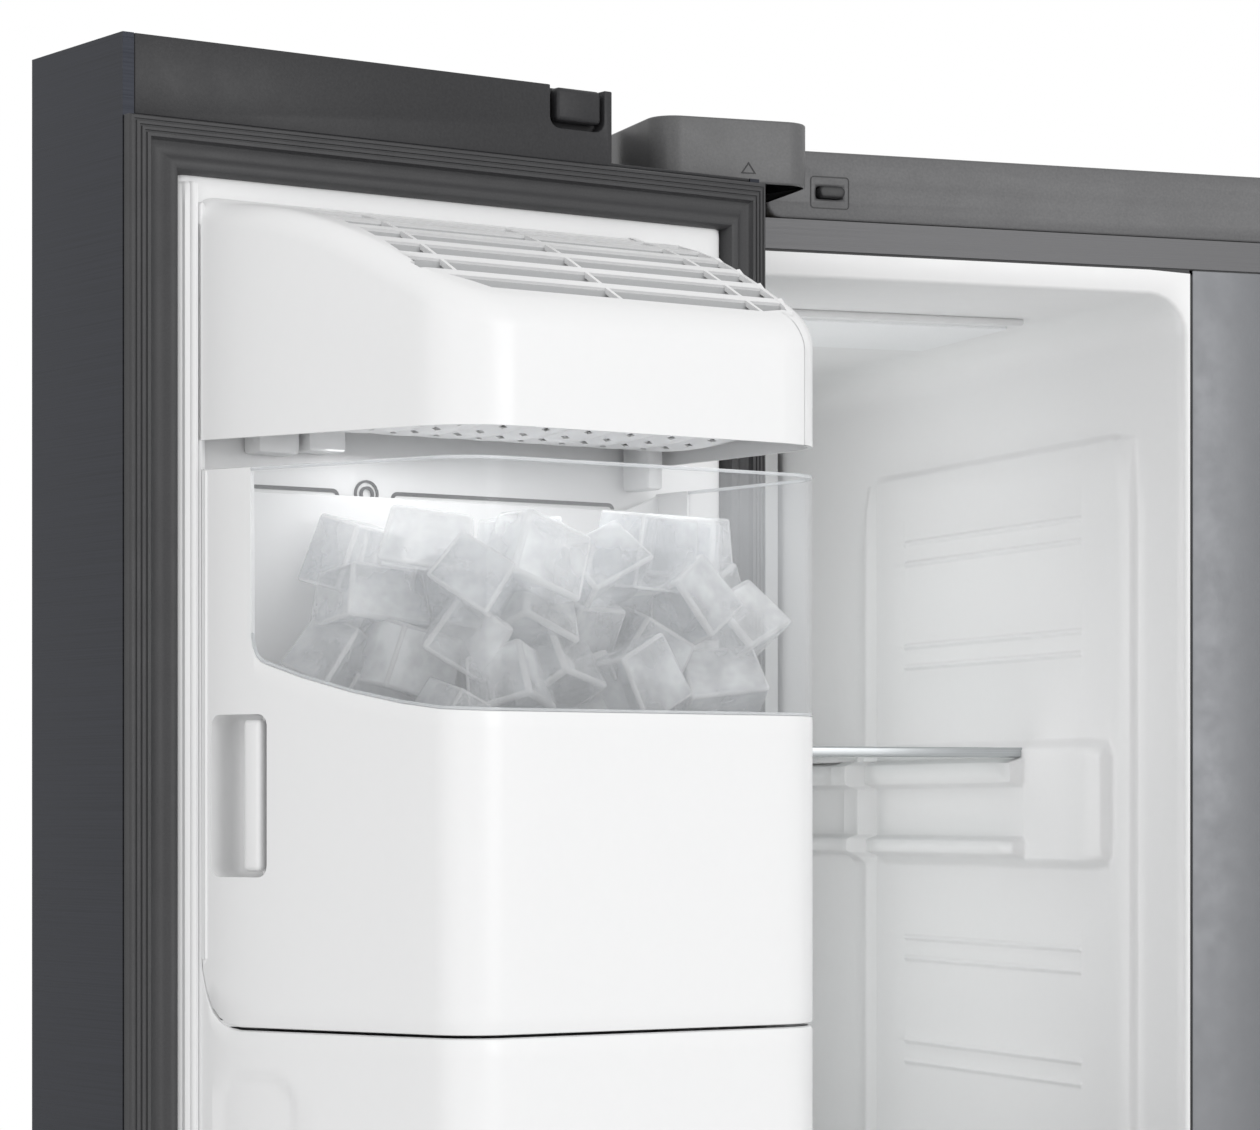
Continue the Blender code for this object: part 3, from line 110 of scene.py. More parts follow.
freezer_door = door_frame("freezer_door_swing", 1, FREEZER_DOOR_WIDTH)
fridge_door = door_frame("fridge_door_swing", -1, FRIDGE_DOOR_WIDTH)
BODY_OF = {cabinet: "cabinet", on_front: "cabinet", freezer_door: "freezer_door", fridge_door: "fridge_door"}


# Materials. Each is built once, from its recipe, and shared.


class Recipe:
    """A material or a world in the making, with the nodes that every recipe uses."""

    def __init__(self, made):
        self.made = made
        made.use_nodes = True
        self.nodes, self.links = made.node_tree.nodes, made.node_tree.links

    def fill(self, node, sockets):
        """Sets each socket to its value, or links it to the output given."""
        for name, value in sockets.items():
            if isinstance(value, bpy.types.NodeSocket):
                self.links.new(value, node.inputs[name])
            else:
                node.inputs[name].default_value = value
        return node.outputs

    def node(self, kind, sockets=None, **settings):
        node = self.nodes.new("ShaderNode" + kind)
        for name, value in settings.items():
            setattr(node, name, value)
        return self.fill(node, sockets or {})

    def noise(self, scale, detail=4.0, rough=0.6, stretch=(1, 1, 1)):
        """Noise over the surface in metres, stretched along the axes given."""
        place = self.node("Mapping", {"Scale": stretch, "Vector": self.node("TexCoord")["Object"]})
        return self.node("TexNoise", {"Scale": scale, "Detail": detail, "Roughness": rough,
                                      "Vector": place["Vector"]})["Fac"]

    def spread(self, source, low, high, seen=(0.3, 0.7)):
        """Maps the range seen, which for noise is mostly 0.3 to 0.7, onto low to high."""
        return self.node("MapRange", {"From Min": seen[0], "From Max": seen[1], "To Min": low, "To Max": high,
                                      "Value": source})["Result"]

    def tint(self, source, dark, light):
        ramp = self.nodes.new("ShaderNodeValToRGB")
        for element, position, colour in zip(ramp.color_ramp.elements, (0.3, 0.7), (dark, light)):
            element.position = position
            element.color = (*colour, 1)
        return self.fill(ramp, {"Fac": source})["Color"]

    def bump(self, source, strength, distance=0.0002):
        return self.node("Bump", {"Strength": strength, "Distance": distance, "Height": source})["Normal"]

    def finish(self, sockets, last="Principled BSDF"):
        self.fill(self.nodes[last], sockets)
        return self.made


def plastic(name, dark, light, rough, grain=900, bump=0.15, shine=0.5):
    """Moulded plastic: a fine spark-eroded grain, with a faint speckle of tone."""
    recipe = Recipe(bpy.data.materials.new(name))
    return recipe.finish({"Base Color": recipe.tint(recipe.noise(grain * 0.7, 3), dark, light),
                          "Specular IOR Level": shine,
                          "Roughness": recipe.spread(recipe.noise(40), rough - 0.04, rough + 0.05),
                          "Normal": recipe.bump(recipe.noise(grain, 2), bump)})


def brushed(name, dark, light, rough, metallic=0.85):
    """Brushed steel: long fine scratches that lie level."""
    recipe = Recipe(bpy.data.materials.new(name))
    lines = recipe.noise(1.0, 5, 0.7, (6, 6, 1400))
    return recipe.finish({"Base Color": recipe.tint(lines, dark, light), "Metallic": metallic,
                          "Roughness": recipe.spread(lines, rough - 0.08, rough + 0.1),
                          "Normal": recipe.bump(lines, 0.25)})


def sheet_metal(name, dark, light, rough, metallic, grain=500):
    """Painted or galvanised sheet, with a slight orange peel and patches of tone, as zinc spangle has."""
    recipe = Recipe(bpy.data.materials.new(name))
    return recipe.finish({"Base Color": recipe.tint(recipe.noise(90, 3), dark, light), "Metallic": metallic,
                          "Roughness": recipe.spread(recipe.noise(60), rough - 0.05, rough + 0.07),
                          "Normal": recipe.bump(recipe.noise(grain, 2), 0.12)})


def clear(name, colour, rough, alpha):
    """Clear plastic or glass. Its light passes straight through, as it does through a thin sheet."""
    recipe = Recipe(bpy.data.materials.new(name))
    light = tuple(min(1, part * 1.03) for part in colour)
    return recipe.finish({"Base Color": recipe.tint(recipe.noise(5), colour, light), "IOR": 1.45,
                          "Roughness": recipe.spread(recipe.noise(30), rough, rough + 0.05), "Alpha": alpha,
                          "Normal": recipe.bump(recipe.noise(60, 2), 0.02, 0.0005)})


# The direction that ice sides are painted lighter towards: painted light, as from the key light above and to
# the front right.
ICE_PAINTED_LIGHT_SIDE = (0.45, -0.4, 0.8)


def ice_material():
    """Clear ice with a cloudy, bubbly core. Each cube has its own random tone, and each side is painted
    lighter the more it faces up and to the front right, where the key light stands: painted light and shade
    on the sides.
    """
    recipe = Recipe(bpy.data.materials.new("cloudy_ice_with_painted_facet_light"))
    cloud, bubbles = recipe.noise(34, 3, 0.5), recipe.noise(260, 5, 0.7)
    # Painted light: how far each side faces the lit direction.
    side = recipe.node("VectorMath", {0: recipe.node("TexCoord")["Normal"], 1: ICE_PAINTED_LIGHT_SIDE},
                       operation="DOT_PRODUCT")["Value"]
    cube = recipe.node("NewGeometry")["Random Per Island"]
    # Painted light and shade from the side's facing, plus a random tone for each cube.
    tone = recipe.node("Math", {0: recipe.spread(side, 0.3, 0.62, (-1.0, 1.0)),
                                1: recipe.spread(cube, 0.0, 0.12, (0.0, 1.0))}, operation="ADD")["Value"]
    colour = recipe.node("Mix", {"Factor": 1.0, "A": recipe.tint(bubbles, (0.86, 0.88, 0.9), (1.0, 1.0, 1.0)),
                                 "B": recipe.tint(tone, (0.62, 0.64, 0.67), (1.0, 1.0, 1.0))},
                         data_type="RGBA", blend_type="MULTIPLY")["Result"]
    return recipe.finish({"Base Color": colour, "Roughness": recipe.spread(recipe.noise(30, 3), 0.02, 0.16),
                          "Transmission Weight": recipe.spread(cloud, 0.6, 0.2),
                          "Alpha": recipe.spread(cloud, 0.32, 0.7), "IOR": 1.31,
                          "Normal": recipe.bump(recipe.noise(60, 2), 0.12, 0.0006)})


WHITE = plastic("white_abs", (0.798, 0.8, 0.803), (0.804, 0.806, 0.809), 0.325, 260, 0.012)
WHITE_LINER = plastic("white_liner", (0.806, 0.806, 0.808), (0.812, 0.812, 0.814), 0.36, 260, 0.015)
GREY_CAP = plastic("grey_cap_plastic", (0.024, 0.024, 0.026), (0.032, 0.032, 0.034), 0.42, 900, 0.3, 0.3)
GREY_RAIL = plastic("grey_rail_plastic", (0.1, 0.1, 0.103), (0.124, 0.124, 0.127), 0.45, bump=0.3)
HOOD_GREY = plastic("hinge_hood_plastic", (0.096, 0.096, 0.098), (0.114, 0.114, 0.116), 0.42, bump=0.35)
# Black plastic for the black parts, also used for the dark lines of painted shade in gaps and grooves.
BLACK_PLASTIC_AND_PAINTED_SHADE = plastic("black_plastic_and_painted_shade", (0.012, 0.012, 0.013), (0.02, 0.02, 0.022), 0.45, bump=0.3)
RUBBER = plastic("gasket_rubber", (0.034, 0.034, 0.036), (0.044, 0.044, 0.046), 0.55, 1500, 0.2)
STEEL = brushed("dark_brushed_steel", (0.018, 0.02, 0.026), (0.044, 0.047, 0.058), 0.36)
RAIL_STEEL = brushed("grey_rail_steel", (0.09, 0.09, 0.094), (0.128, 0.128, 0.132), 0.42, 0.25)
# The grey of the dispenser's keys, also used as painted shade under the ice hood's slots.
KEY_GREY_AND_PAINTED_SHADE = plastic("key_grey_and_painted_shade_plastic", (0.16, 0.164, 0.168), (0.18, 0.184, 0.188), 0.5)
# The slats' white plastic, greyed: painted shade for the shade between them.
SLAT_PAINTED_SHADE = plastic("slat_plastic_painted_shade", (0.44, 0.446, 0.452), (0.46, 0.466, 0.472), 0.45)
CASE_STEEL = sheet_metal("grey_painted_steel", (0.108, 0.108, 0.113), (0.114, 0.114, 0.119), 0.42, 0.2)
MULLION_STEEL = sheet_metal("light_grey_steel", (0.184, 0.189, 0.2), (0.192, 0.197, 0.208), 0.4, 0.35)
ZINC = sheet_metal("galvanised_steel", (0.44, 0.45, 0.46), (0.52, 0.53, 0.54), 0.38, 0.9, 120)
BRIGHT_STEEL = brushed("bright_steel_trim", (0.42, 0.44, 0.45), (0.58, 0.6, 0.61), 0.36, 0.9)
ENAMEL = sheet_metal("black_enamel", (0.012, 0.012, 0.013), (0.022, 0.022, 0.024), 0.2, 0.3)
BLACK_GLASS = plastic("black_glass_panel", (0.006, 0.006, 0.008), (0.01, 0.01, 0.012), 0.07, bump=0.0)
CLEAR = clear("clear_polystyrene", (0.8, 0.82, 0.84), 0.03, 0.13)
# The bucket window's rims: a more opaque clear, a painted highlight along them.
CLEAR_PAINTED_RIM_HIGHLIGHT = clear("clear_painted_rim_highlight", (0.78, 0.8, 0.82), 0.05, 0.55)
BIN_CLEAR = clear("bin_polystyrene", (0.8, 0.84, 0.87), 0.06, 0.34)
GLASS = clear("shelf_glass", (0.68, 0.74, 0.73), 0.02, 0.38)
LENS = plastic("frosted_lens", (0.86, 0.87, 0.88), (0.9, 0.91, 0.92), 0.35)
ICE = ice_material()
# The ice cubes' rounded edges: brighter and more opaque than the ice, a painted highlight along them.
ICE_PAINTED_EDGE_HIGHLIGHT = clear("ice_painted_edge_highlight", (0.9, 0.91, 0.92), 0.1, 0.36)
FOAM = plastic("insulation_foam", (0.62, 0.52, 0.3), (0.74, 0.64, 0.4), 0.9, 250, 0.8)
FLOOR_PAINT = plastic("pale_floor", (0.8, 0.8, 0.8), (0.84, 0.84, 0.84), 0.6, bump=0.05)

SLOTS = {
    "white_liner_plastic": (WHITE, WHITE_LINER, SLAT_PAINTED_SHADE),
    "dark_grey_plastic": (GREY_CAP,),
    "grey_plastic": (GREY_RAIL, HOOD_GREY, BLACK_PLASTIC_AND_PAINTED_SHADE, KEY_GREY_AND_PAINTED_SHADE),
    "grey_gasket_rubber": (RUBBER,),
    "light_grey_steel": (BRIGHT_STEEL, MULLION_STEEL),
    "galvanised_steel": (ZINC,),
    "black_enamel": (ENAMEL,),
    "black_glass_panel": (BLACK_GLASS,),
    "clear_plastic": (CLEAR, CLEAR_PAINTED_RIM_HIGHLIGHT, BIN_CLEAR, LENS, ICE),
    "shelf_glass": (GLASS,),
}
SLOT_OF = {finish.name: slot for slot, finishes in SLOTS.items() for finish in finishes}


# Building pieces.


def face_outwards(shape):
    bmesh.ops.recalc_face_normals(shape, faces=shape.faces)
    if shape.calc_volume(signed=True) < 0:
        bmesh.ops.reverse_faces(shape, faces=shape.faces)


def link(name, data):
    obj = bpy.data.objects.new(name, data)
    bpy.context.scene.collection.objects.link(obj)
    return obj


def put(name, shape, finish=None):
    """Puts a bmesh in the scene as an object, and frees it."""
    mesh = bpy.data.meshes.new(name)
    shape.to_mesh(mesh)
    shape.free()
    if finish:
        mesh.materials.append(finish)
    return link(name, mesh)


def piece(name, shape, finish, body, replaced=(), sharp=40, slot=None):
    """Turns a bmesh into a piece with smooth faces, sharp only where they meet at a steep angle."""
    face_outwards(shape)
    obj = put(name, shape, finish)
    obj.data.shade_smooth()
    obj.data.set_sharp_from_angle(angle=math.radians(sharp))
    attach(obj, body)
    slot or SLOT_OF[finish.name]
    if replaced:
        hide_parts(*replaced)
    return obj


def grid_faces(rows, columns, close_rows=False, close_columns=True):
    """The faces of a grid of points, row by row."""
    faces = []
    for i in range(rows if close_rows else rows - 1):
        for j in range(columns if close_columns else columns - 1):
            k = (j + 1) % columns
            m = (i + 1) % rows
            faces.append((i * columns + j, i * columns + k, m * columns + k, m * columns + j))
    return faces


def tube_faces(rows, columns):
    """The faces of a grid whose rows are rings, and of its two flat ends."""
    count = rows * columns
    ends = [tuple(reversed(range(columns))), tuple(range(count - columns, count))]
    return grid_faces(rows, columns) + ends


def mesh_of(points, faces):
    shape = bmesh.new()
    corners = [shape.verts.new(point) for point in points]
    for face in faces:
        shape.faces.new([corners[i] for i in face])
    return shape


def add_to(whole, part):
    """Adds one shape to another, and frees it."""
    mesh = bpy.data.meshes.new("part")
    part.to_mesh(mesh)
    part.free()
    whole.from_mesh(mesh)
    bpy.data.meshes.remove(mesh)


def thicken(shape, depth, facing):
    """Turns an open skin towards facing, and gives it an inner side, each point moved along its normal."""
    bmesh.ops.recalc_face_normals(shape, faces=shape.faces)
    if sum(face.normal.dot(facing) * face.calc_area() for face in shape.faces) < 0:
        bmesh.ops.reverse_faces(shape, faces=shape.faces)
    shape.normal_update()
    outer = list(shape.verts)
    faces = list(shape.faces)
    rim = [edge for edge in shape.edges if len(edge.link_faces) == 1]
    inner = {v: shape.verts.new(v.co - v.normal * depth) for v in outer}
    for edge in rim:
        loop = next(loop for loop in edge.link_faces[0].loops if loop.edge == edge)
        first, second = loop.vert, loop.link_loop_next.vert
        shape.faces.new((second, first, inner[first], inner[second]))
    for face in faces:
        shape.faces.new([inner[v] for v in reversed(face.verts)])


def soft_box(place, low, high, radius, segments=3):
    """A box with rounded edges, in the coordinates of the place given."""
    shape = bmesh.new()
    bmesh.ops.create_cube(shape, size=1.0)
    for vertex in shape.verts:
        vertex.co = Vector([low[i] if vertex.co[i] < 0 else high[i] for i in range(3)])
    radius = min(radius, 0.49 * min(abs(high[i] - low[i]) for i in range(3)))
    round_edges(shape, shape.edges, radius, segments)
    for vertex in shape.verts:
        vertex.co = place(*vertex.co)
    return shape


def round_edges(shape, edges, width, segments, **more):
    bmesh.ops.bevel(shape, geom=list(edges), offset=width, segments=segments, profile=0.5,
                    affect="EDGES", **more)


def block(name, place, low, high, radius, finish, body=None, replaced=()):
    """One rounded box. It rides on the body whose coordinates it is given in, unless another is named."""
    return piece(name, soft_box(place, low, high, radius), finish, body or BODY_OF[place], replaced)


def blocks(name, place, boxes, radius, finish, body=None, segments=2, slot=None):
    """Several rounded boxes as one piece."""
    whole = bmesh.new()
    for low, high in boxes:
        add_to(whole, soft_box(place, low, high, radius, segments))
    return piece(name, whole, finish, body or BODY_OF[place], slot=slot)


def rounded_cad(node, width, finish, segments=2, slot=None):
    """The CAD node's shape with its edges rounded off, in place of the node."""
    source = NODES[node]
    shape = bmesh.new()
    shape.from_mesh(source.data)
    bmesh.ops.remove_doubles(shape, verts=shape.verts, dist=0.00002)
    bmesh.ops.dissolve_limit(shape, angle_limit=math.radians(1), verts=shape.verts, edges=shape.edges)
    edges = [e for e in shape.edges
             if len(e.link_faces) == 2 and e.calc_face_angle(0) > math.radians(30)]
    round_edges(shape, edges, width, segments, clamp_overlap=True)
    piece(node + "_finished", shape, finish, source["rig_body"], (node,), slot=slot)


def span(node, place):
    """The node's box in the coordinates of the place given."""
    origin = place(0, 0, 0)
    axes = [place(*row) - origin for row in ((1, 0, 0), (0, 1, 0), (0, 0, 1))]
    obj = NODES[node]
    seen = [obj.matrix_world @ vertex.co - origin for vertex in obj.data.vertices]
    spots = [[point.dot(axis) for axis in axes] for point in seen]
    return [min(s[i] for s in spots) for i in range(3)], [max(s[i] for s in spots) for i in range(3)]


def cad_finish(finish, *names):
    """A new material for CAD nodes whose shape is right as it is."""
    for name in names:
        materials = NODES[name].data.materials
        materials.clear()
        materials.append(finish)


# Curves and outlines.


def in_metres(*places):
    """A table of places that is written in millimetres."""
    return [tuple(measure / 1000 for measure in place) for place in places]


def arc(centre, radius, start, end, steps):
    turns = [start + (end - start) * i / steps for i in range(steps + 1)]
    return [(centre[0] + radius * math.cos(t), centre[1] + radius * math.sin(t)) for t in turns]


def rounded_outline(low, high, inset, radius, least=0.0015):
    """A rounded rectangle, anticlockwise from its low corner, brought in by the inset."""
    bend = max(radius - inset, least)
    points = []
    for x, y, start in ((low[0], low[1], 2), (high[0], low[1], 3), (high[0], high[1], 0),
                        (low[0], high[1], 1)):
        centre = (x + (inset + bend) * (1 if x == low[0] else -1),
                  y + (inset + bend) * (1 if y == low[1] else -1))
        points += arc(centre, bend, start * QUARTER, (start + 1) * QUARTER, 5)
    return points


def smooth(value, low, high):
    share = min(1.0, max(0.0, (value - low) / (high - low)))
    return share * share * (3 - 2 * share)


def rounded_gap(y, z, low, high, radius):
    """How far a place is outside a rounded rectangle; negative inside."""
    across = abs(y - (low[0] + high[0]) / 2) - (high[0] - low[0]) / 2 + radius
    up = abs(z - (low[1] + high[1]) / 2) - (high[1] - low[1]) / 2 + radius
    return math.hypot(max(across, 0), max(up, 0)) + min(max(across, up), 0) - radius


def fine_steps(low, high, edges, coarse):
    """Grid places between two ends, closer together near each edge given."""
    count = max(1, round((high - low) / coarse))
    steps = {low, high} | {low + (high - low) * i / count for i in range(count + 1)}
    for edge, soft in edges:
        steps |= {edge + soft * k for k in (-1.0, -0.5, 0.0, 0.5, 1.0)}
    kept = []
    for step in sorted(s for s in steps if low <= s <= high):
        if not kept or step - kept[-1] > 0.0004:
            kept.append(step)
    return kept


def curve_height(knots, value):
    """The height of the line through the knots."""
    if value <= knots[0][0]:
        return knots[0][1]
    for (x0, z0), (x1, z1) in zip(knots, knots[1:]):
        if value <= x1:
            return z0 + (z1 - z0) * (value - x0) / (x1 - x0)
    return knots[-1][1]


def painted_shade_line(name, place, low, high, depth, radius, line, rise, slot=None):
    """A thin dark raised line round a rounded rectangle: painted shade, standing for the shade in panel gaps
    and moulded grooves.
    """
    points = []
    for inset, up in ((0, -0.0008), (0, rise), (line, rise), (line, -0.0008)):
        points += [place(x, depth + up, y) for x, y in rounded_outline(low, high, inset, radius, 0.0002)]
    shape = mesh_of(points, grid_faces(4, len(points) // 4, close_rows=True))
    # The line's black is painted shade.
    return piece(name, shape, BLACK_PLASTIC_AND_PAINTED_SHADE, BODY_OF[place], slot=slot)


# Gaskets, caps, hinge hoods and the rail across the top.

CAP_FLAP_FROM_END = 0.139
SEAL_REACH = 0.0677
SEAL_LOW, SEAL_HIGH = 0.074, 1.7395
SEAL_PROFILE = in_metres((0.5, 0.3), (0.5, 5.8), (1.2, 7), (2.6, 7.4), (2.9, 6.8), (3.6, 6.8),
                         (3.9, 7.7), (5.3, 8), (5.6, 7.3), (6.3, 7.3), (6.6, 8.2), (8, 8.5), (8.3, 7.8),
                         (9, 7.8), (9.3, 8.7), (11, 8.9), (11.4, 8), (12.4, 6.6), (14, 5.8), (16, 5.6),
                         (18, 6.2), (19.8, 7.6), (21.2, 9), (22.6, 9.6), (24.2, 9.6), (25.6, 9),
                         (26.8, 7.4), (27.5, 4.8), (27.8, 0.3))
SWITCH_MIDDLE = 0.3085
MARK_MIDDLE = (-0.4, 1.7502)


def seal(door, place, width):
    """The bellows gasket, ribbed and mitred, and lower by the hinge so that it swings clear of the case."""
    points = []
    for t, n in SEAL_PROFILE:
        swing = math.sqrt(SEAL_REACH**2 - max(0.0, PIN_FROM_EDGE - t) ** 2) - PIN_FROM_INSIDE
        low, high, end, hinge_n = SEAL_LOW + t, SEAL_HIGH - t, width - t, min(n, swing)
        points += [place(t, n, low), place(end, hinge_n, low), place(end, hinge_n, high), place(t, n, high)]
    shape = mesh_of(points, grid_faces(len(SEAL_PROFILE), 4, close_rows=True))
    piece(door + "_seal", shape, RUBBER, door, (door + "_gasket",), sharp=25)


def cap_details(door, place, width):
    """The finger flap in the cap's inner side, and the wall behind the notch for the hinge."""
    flap = width - CAP_FLAP_FROM_END
    block(door + "_cap_flap", place, (flap + 0.0048, -0.0085, 1.7616), (flap + 0.0335, -0.0004, 1.7794),
          0.0025, GREY_CAP)
    block(door + "_notch_wall", place, (width - 0.0455, -0.0949, 1.7425), (width - 0.0318, -0.0937, 1.779),
          0.0004, GREY_CAP)


def hood_mark():
    """The small raised triangle on the left hinge hood's front."""
    front = span("hinge_cover_left", cabinet)[0][1]
    middle, height = MARK_MIDDLE
    corners = [(-0.0045, -0.0022), (0.0045, -0.0022), (0.0, 0.0043)]
    points = []
    for share, out in ((1.0, -0.0004), (1.0, 0.0003), (0.72, 0.0003), (0.72, -0.0004)):
        points += [cabinet(middle + x * share, front - out, height + z * share) for x, z in corners]
    piece("hinge_hood_mark", mesh_of(points, grid_faces(4, 3, close_rows=True)), GREY_CAP, "cabinet",
          slot="grey_plastic")


def top_parts():
    doors = (("freezer_door", freezer_door, FREEZER_DOOR_WIDTH),
             ("fridge_door", fridge_door, FRIDGE_DOOR_WIDTH))
    for build in (cap_details, seal):
        for door in doors:
            build(*door)
    for door, _, _ in doors:
        rounded_cad(door + "_top_cap", 0.0011, GREY_CAP)
        rounded_cad(door + "_switch", 0.0012, BLACK_PLASTIC_AND_PAINTED_SHADE, 3)
    for side in ("left", "right"):
        rounded_cad("hinge_cover_" + side, 0.0022, HOOD_GREY, 3)
    rounded_cad("top_table", 0.0016, GREY_RAIL)
    # A dark line round each switch: painted shade of the gap round it.
    for side, middle in (("left", -SWITCH_MIDDLE), ("right", SWITCH_MIDDLE)):
        low, high = (middle - 0.0122, 1.7468), (middle + 0.0122, 1.7656)
        painted_shade_line("switch_bezel_" + side, on_front, low, high, 0.0, 0.0022, 0.0006, 0.0003)
    hood_mark()


# The back of the case and the dispenser's keys.

BACK_PLANE = 0.7324
BACK_HEAD = 0.733
FIELD_ROWS = 3
FIELD_DEPTH = 0.0006


def back_fields(low, high):
    """The corners of the fields pressed into the back panel, in two columns."""
    middle = (low[0] + high[0]) / 2
    height = (high[2] - low[2] - 0.1) / FIELD_ROWS
    fields = []
    for left, right in ((low[0] + 0.05, middle - 0.02), (middle + 0.02, high[0] - 0.05)):
        for row in range(FIELD_ROWS):
            base = low[2] + 0.05 + row * height
            fields.append(((left, base + 0.02), (right, base + height - 0.02)))
    return fields


def back_sheet():
    """The thin back panel, with shallow fields pressed into it to stiffen it."""
    low, high = span("back_panel", cabinet)
    fields = back_fields(low, high)
    steps = []
    for axis, low_end, high_end in ((0, low[0], high[0]), (1, low[2], high[2])):
        edges = [(field[end][axis], 0.003) for field in fields for end in (0, 1)]
        edges += [(field[0][axis] + 0.012, 0.012) for field in fields]
        edges += [(field[1][axis] - 0.012, 0.012) for field in fields]
        steps.append(fine_steps(low_end, high_end, edges, 0.06))
    xs, zs = steps
    points = []
    for z in zs:
        for x in xs:
            press = sum(1 - smooth(rounded_gap(x, z, *field, 0.022), -0.003, 0.003) for field in fields)
            points.append(cabinet(x, BACK_PLANE - FIELD_DEPTH * press, z))
    shape = mesh_of(points, grid_faces(len(zs), len(xs), close_columns=False))
    thicken(shape, 0.0004, BACKWARDS)
    piece("back_sheet", shape, ZINC, "cabinet", ("back_panel",), sharp=60)


def screw_head(x, z):
    """A flat head with a star recess."""
    steps = 20
    rings = [(0.0045, BACK_PLANE - 0.0003), (0.0045, BACK_PLANE + 0.0003), (0.0036, BACK_HEAD - 0.0001),
             (0.0022, BACK_HEAD - 0.0001), (0.002, BACK_PLANE + 0.0001)]
    points = []
    for radius, y in rings:
        for i in range(steps):
            turn = 2 * math.pi * i / steps
            reach = radius * (0.6 if radius < 0.003 and i % 5 == 0 else 1.0)
            points.append(cabinet(x + reach * math.cos(turn), y, z + reach * math.sin(turn)))
    return mesh_of(points, tube_faces(len(rings), steps))


def back_screws():
    """The screws round the back panel and the rear cover."""
    spots = [(x, z) for z in (0.325, 1.718) for x in (-0.43, -0.215, 0.0, 0.215, 0.43)]
    spots += [(x, z) for x in (-0.43, 0.43) for z in (0.68, 1.03, 1.38)]
    whole = bmesh.new()
    for spot in spots:
        add_to(whole, screw_head(*spot))
    piece("back_screws", whole, BRIGHT_STEEL, "cabinet", slot="galvanised_steel")


def dispenser_keys():
    """Five small plain touch keys and a status bar on the control panel."""
    low, high = span("dispenser_panel", freezer_door)
    middle, width = (low[0] + high[0]) / 2, high[0] - low[0]
    back, front = low[1] - 0.0003, low[1] + 0.0006
    keys = [middle + width * 0.17 * (i - 2) for i in range(5)]
    boxes = [((a - 0.0055, back, low[2] + 0.022), (a + 0.0055, front, low[2] + 0.033)) for a in keys]
    boxes.append(((middle - 0.03, back, high[2] - 0.036), (middle + 0.03, front, high[2] - 0.028)))
    blocks("dispenser_keys", freezer_door, boxes, 0.0004, KEY_GREY_AND_PAINTED_SHADE, slot="dark_grey_plastic")


# The ice maker's hood, on the freezer door.

ICE_LEFT, ICE_LEFT_FRONT, ICE_RIGHT = 0.038, 0.0955, 0.32
ICE_BACK, ICE_FRONT = 0.006, 0.163
SIDE_SLOPE = (ICE_LEFT_FRONT - ICE_LEFT) / (ICE_FRONT - ICE_BACK)
HOOD_BOTTOM = 1.5805
HOOD_TOP = in_metres((-10, 1706.8), (10.6, 1699.2), (37.5, 1695.5), (60, 1689.5), (84.3, 1680),
                     (105, 1669.5), (124, 1659), (144, 1648), (163, 1638.5))
LEFT_CORNER, RIGHT_CORNER = 0.028, 0.034
SLOT_FRONTS = [0.144 - 0.0175 * i for i in range(7)]
SLOT_DEPTH = 0.0118
SLOT_RIGHT = 0.3085
RIB_PLACES = (0.112, 0.198, 0.285)
EDGE_ROUND = 0.013
EDGE_INSETS = [EDGE_ROUND * (1 - math.cos(QUARTER * i / 6)) for i in range(7)]


def left_side(n):
    return ICE_LEFT + (n - ICE_BACK) * SIDE_SLOPE


def smooth_height(n):
    """The hood's top, as a smooth curve through its measured places."""
    steps = [-0.008, -0.004, 0, 0.004, 0.008]
    places = [min(0.163, max(-0.009, n + step)) for step in steps]
    return sum(curve_height(HOOD_TOP, place) for place in places) / len(steps)


def slot_left(n):
    return 0.076 + 0.016 * smooth(n, 0.02, 0.12) + 0.03 * smooth(n, 0.122, 0.146)


def past_slot_start(a, n):
    """The place a, or for the leftmost rib a place just inside the slots."""
    return max(a, slot_left(n) + 0.004) if a < 0.15 else a


def hood_columns(n):
    """The places across the hood: rounded left edge, slots with their ribs, rounded right edge."""
    first = left_side(n) + EDGE_ROUND
    places = [left_side(n) + inset for inset in EDGE_INSETS]
    places += [first + (slot_left(n) - first) * share for share in (0.3, 0.6, 0.85, 1.0)]
    places += [past_slot_start(rib + side, n) for rib in RIB_PLACES for side in (-0.0011, 0.0011)]
    places += [SLOT_RIGHT - 0.004, SLOT_RIGHT]
    return places + [ICE_RIGHT - inset for inset in reversed(EDGE_INSETS)]


def hood_rows():
    rows = {0.0036, 0.012, 0.02}
    for front in SLOT_FRONTS:
        rows |= {front, front - SLOT_DEPTH, front - SLOT_DEPTH / 2}
    return sorted(rows) + sorted(ICE_FRONT - inset for inset in EDGE_INSETS)


def round_corner(a, n, drop):
    """Pulls the square corners of the plan in to round ones; drop is the place's depth inside the edge."""
    front = ICE_FRONT - n
    for radius, side in ((LEFT_CORNER, a - left_side(n)), (RIGHT_CORNER, ICE_RIGHT - a)):
        if side >= radius or front >= radius:
            continue
        x, y = 1 - side / radius, 1 - front / radius
        reach = max(x, y)
        angle = math.pi / 4 * (y / x) if x >= y else QUARTER - math.pi / 4 * (x / max(y, 1e-9))
        inward = radius * (1 - reach * math.cos(angle))
        new_n = ICE_FRONT - radius * (1 - reach * math.sin(angle))
        new_a = left_side(new_n) + inward if radius == LEFT_CORNER else ICE_RIGHT - inward
        return new_a, new_n, radius * (1 - reach)
    return a, n, drop


def hood_point(a, n):
    a, n, inside = round_corner(a, n, min(a - left_side(n), ICE_RIGHT - a, ICE_FRONT - n))
    fall = 0.0
    if inside < EDGE_ROUND:
        fall = EDGE_ROUND - math.sqrt(max(0.0, EDGE_ROUND**2 - (EDGE_ROUND - max(0.0, inside)) ** 2))
    return a, n, smooth_height(n) - fall


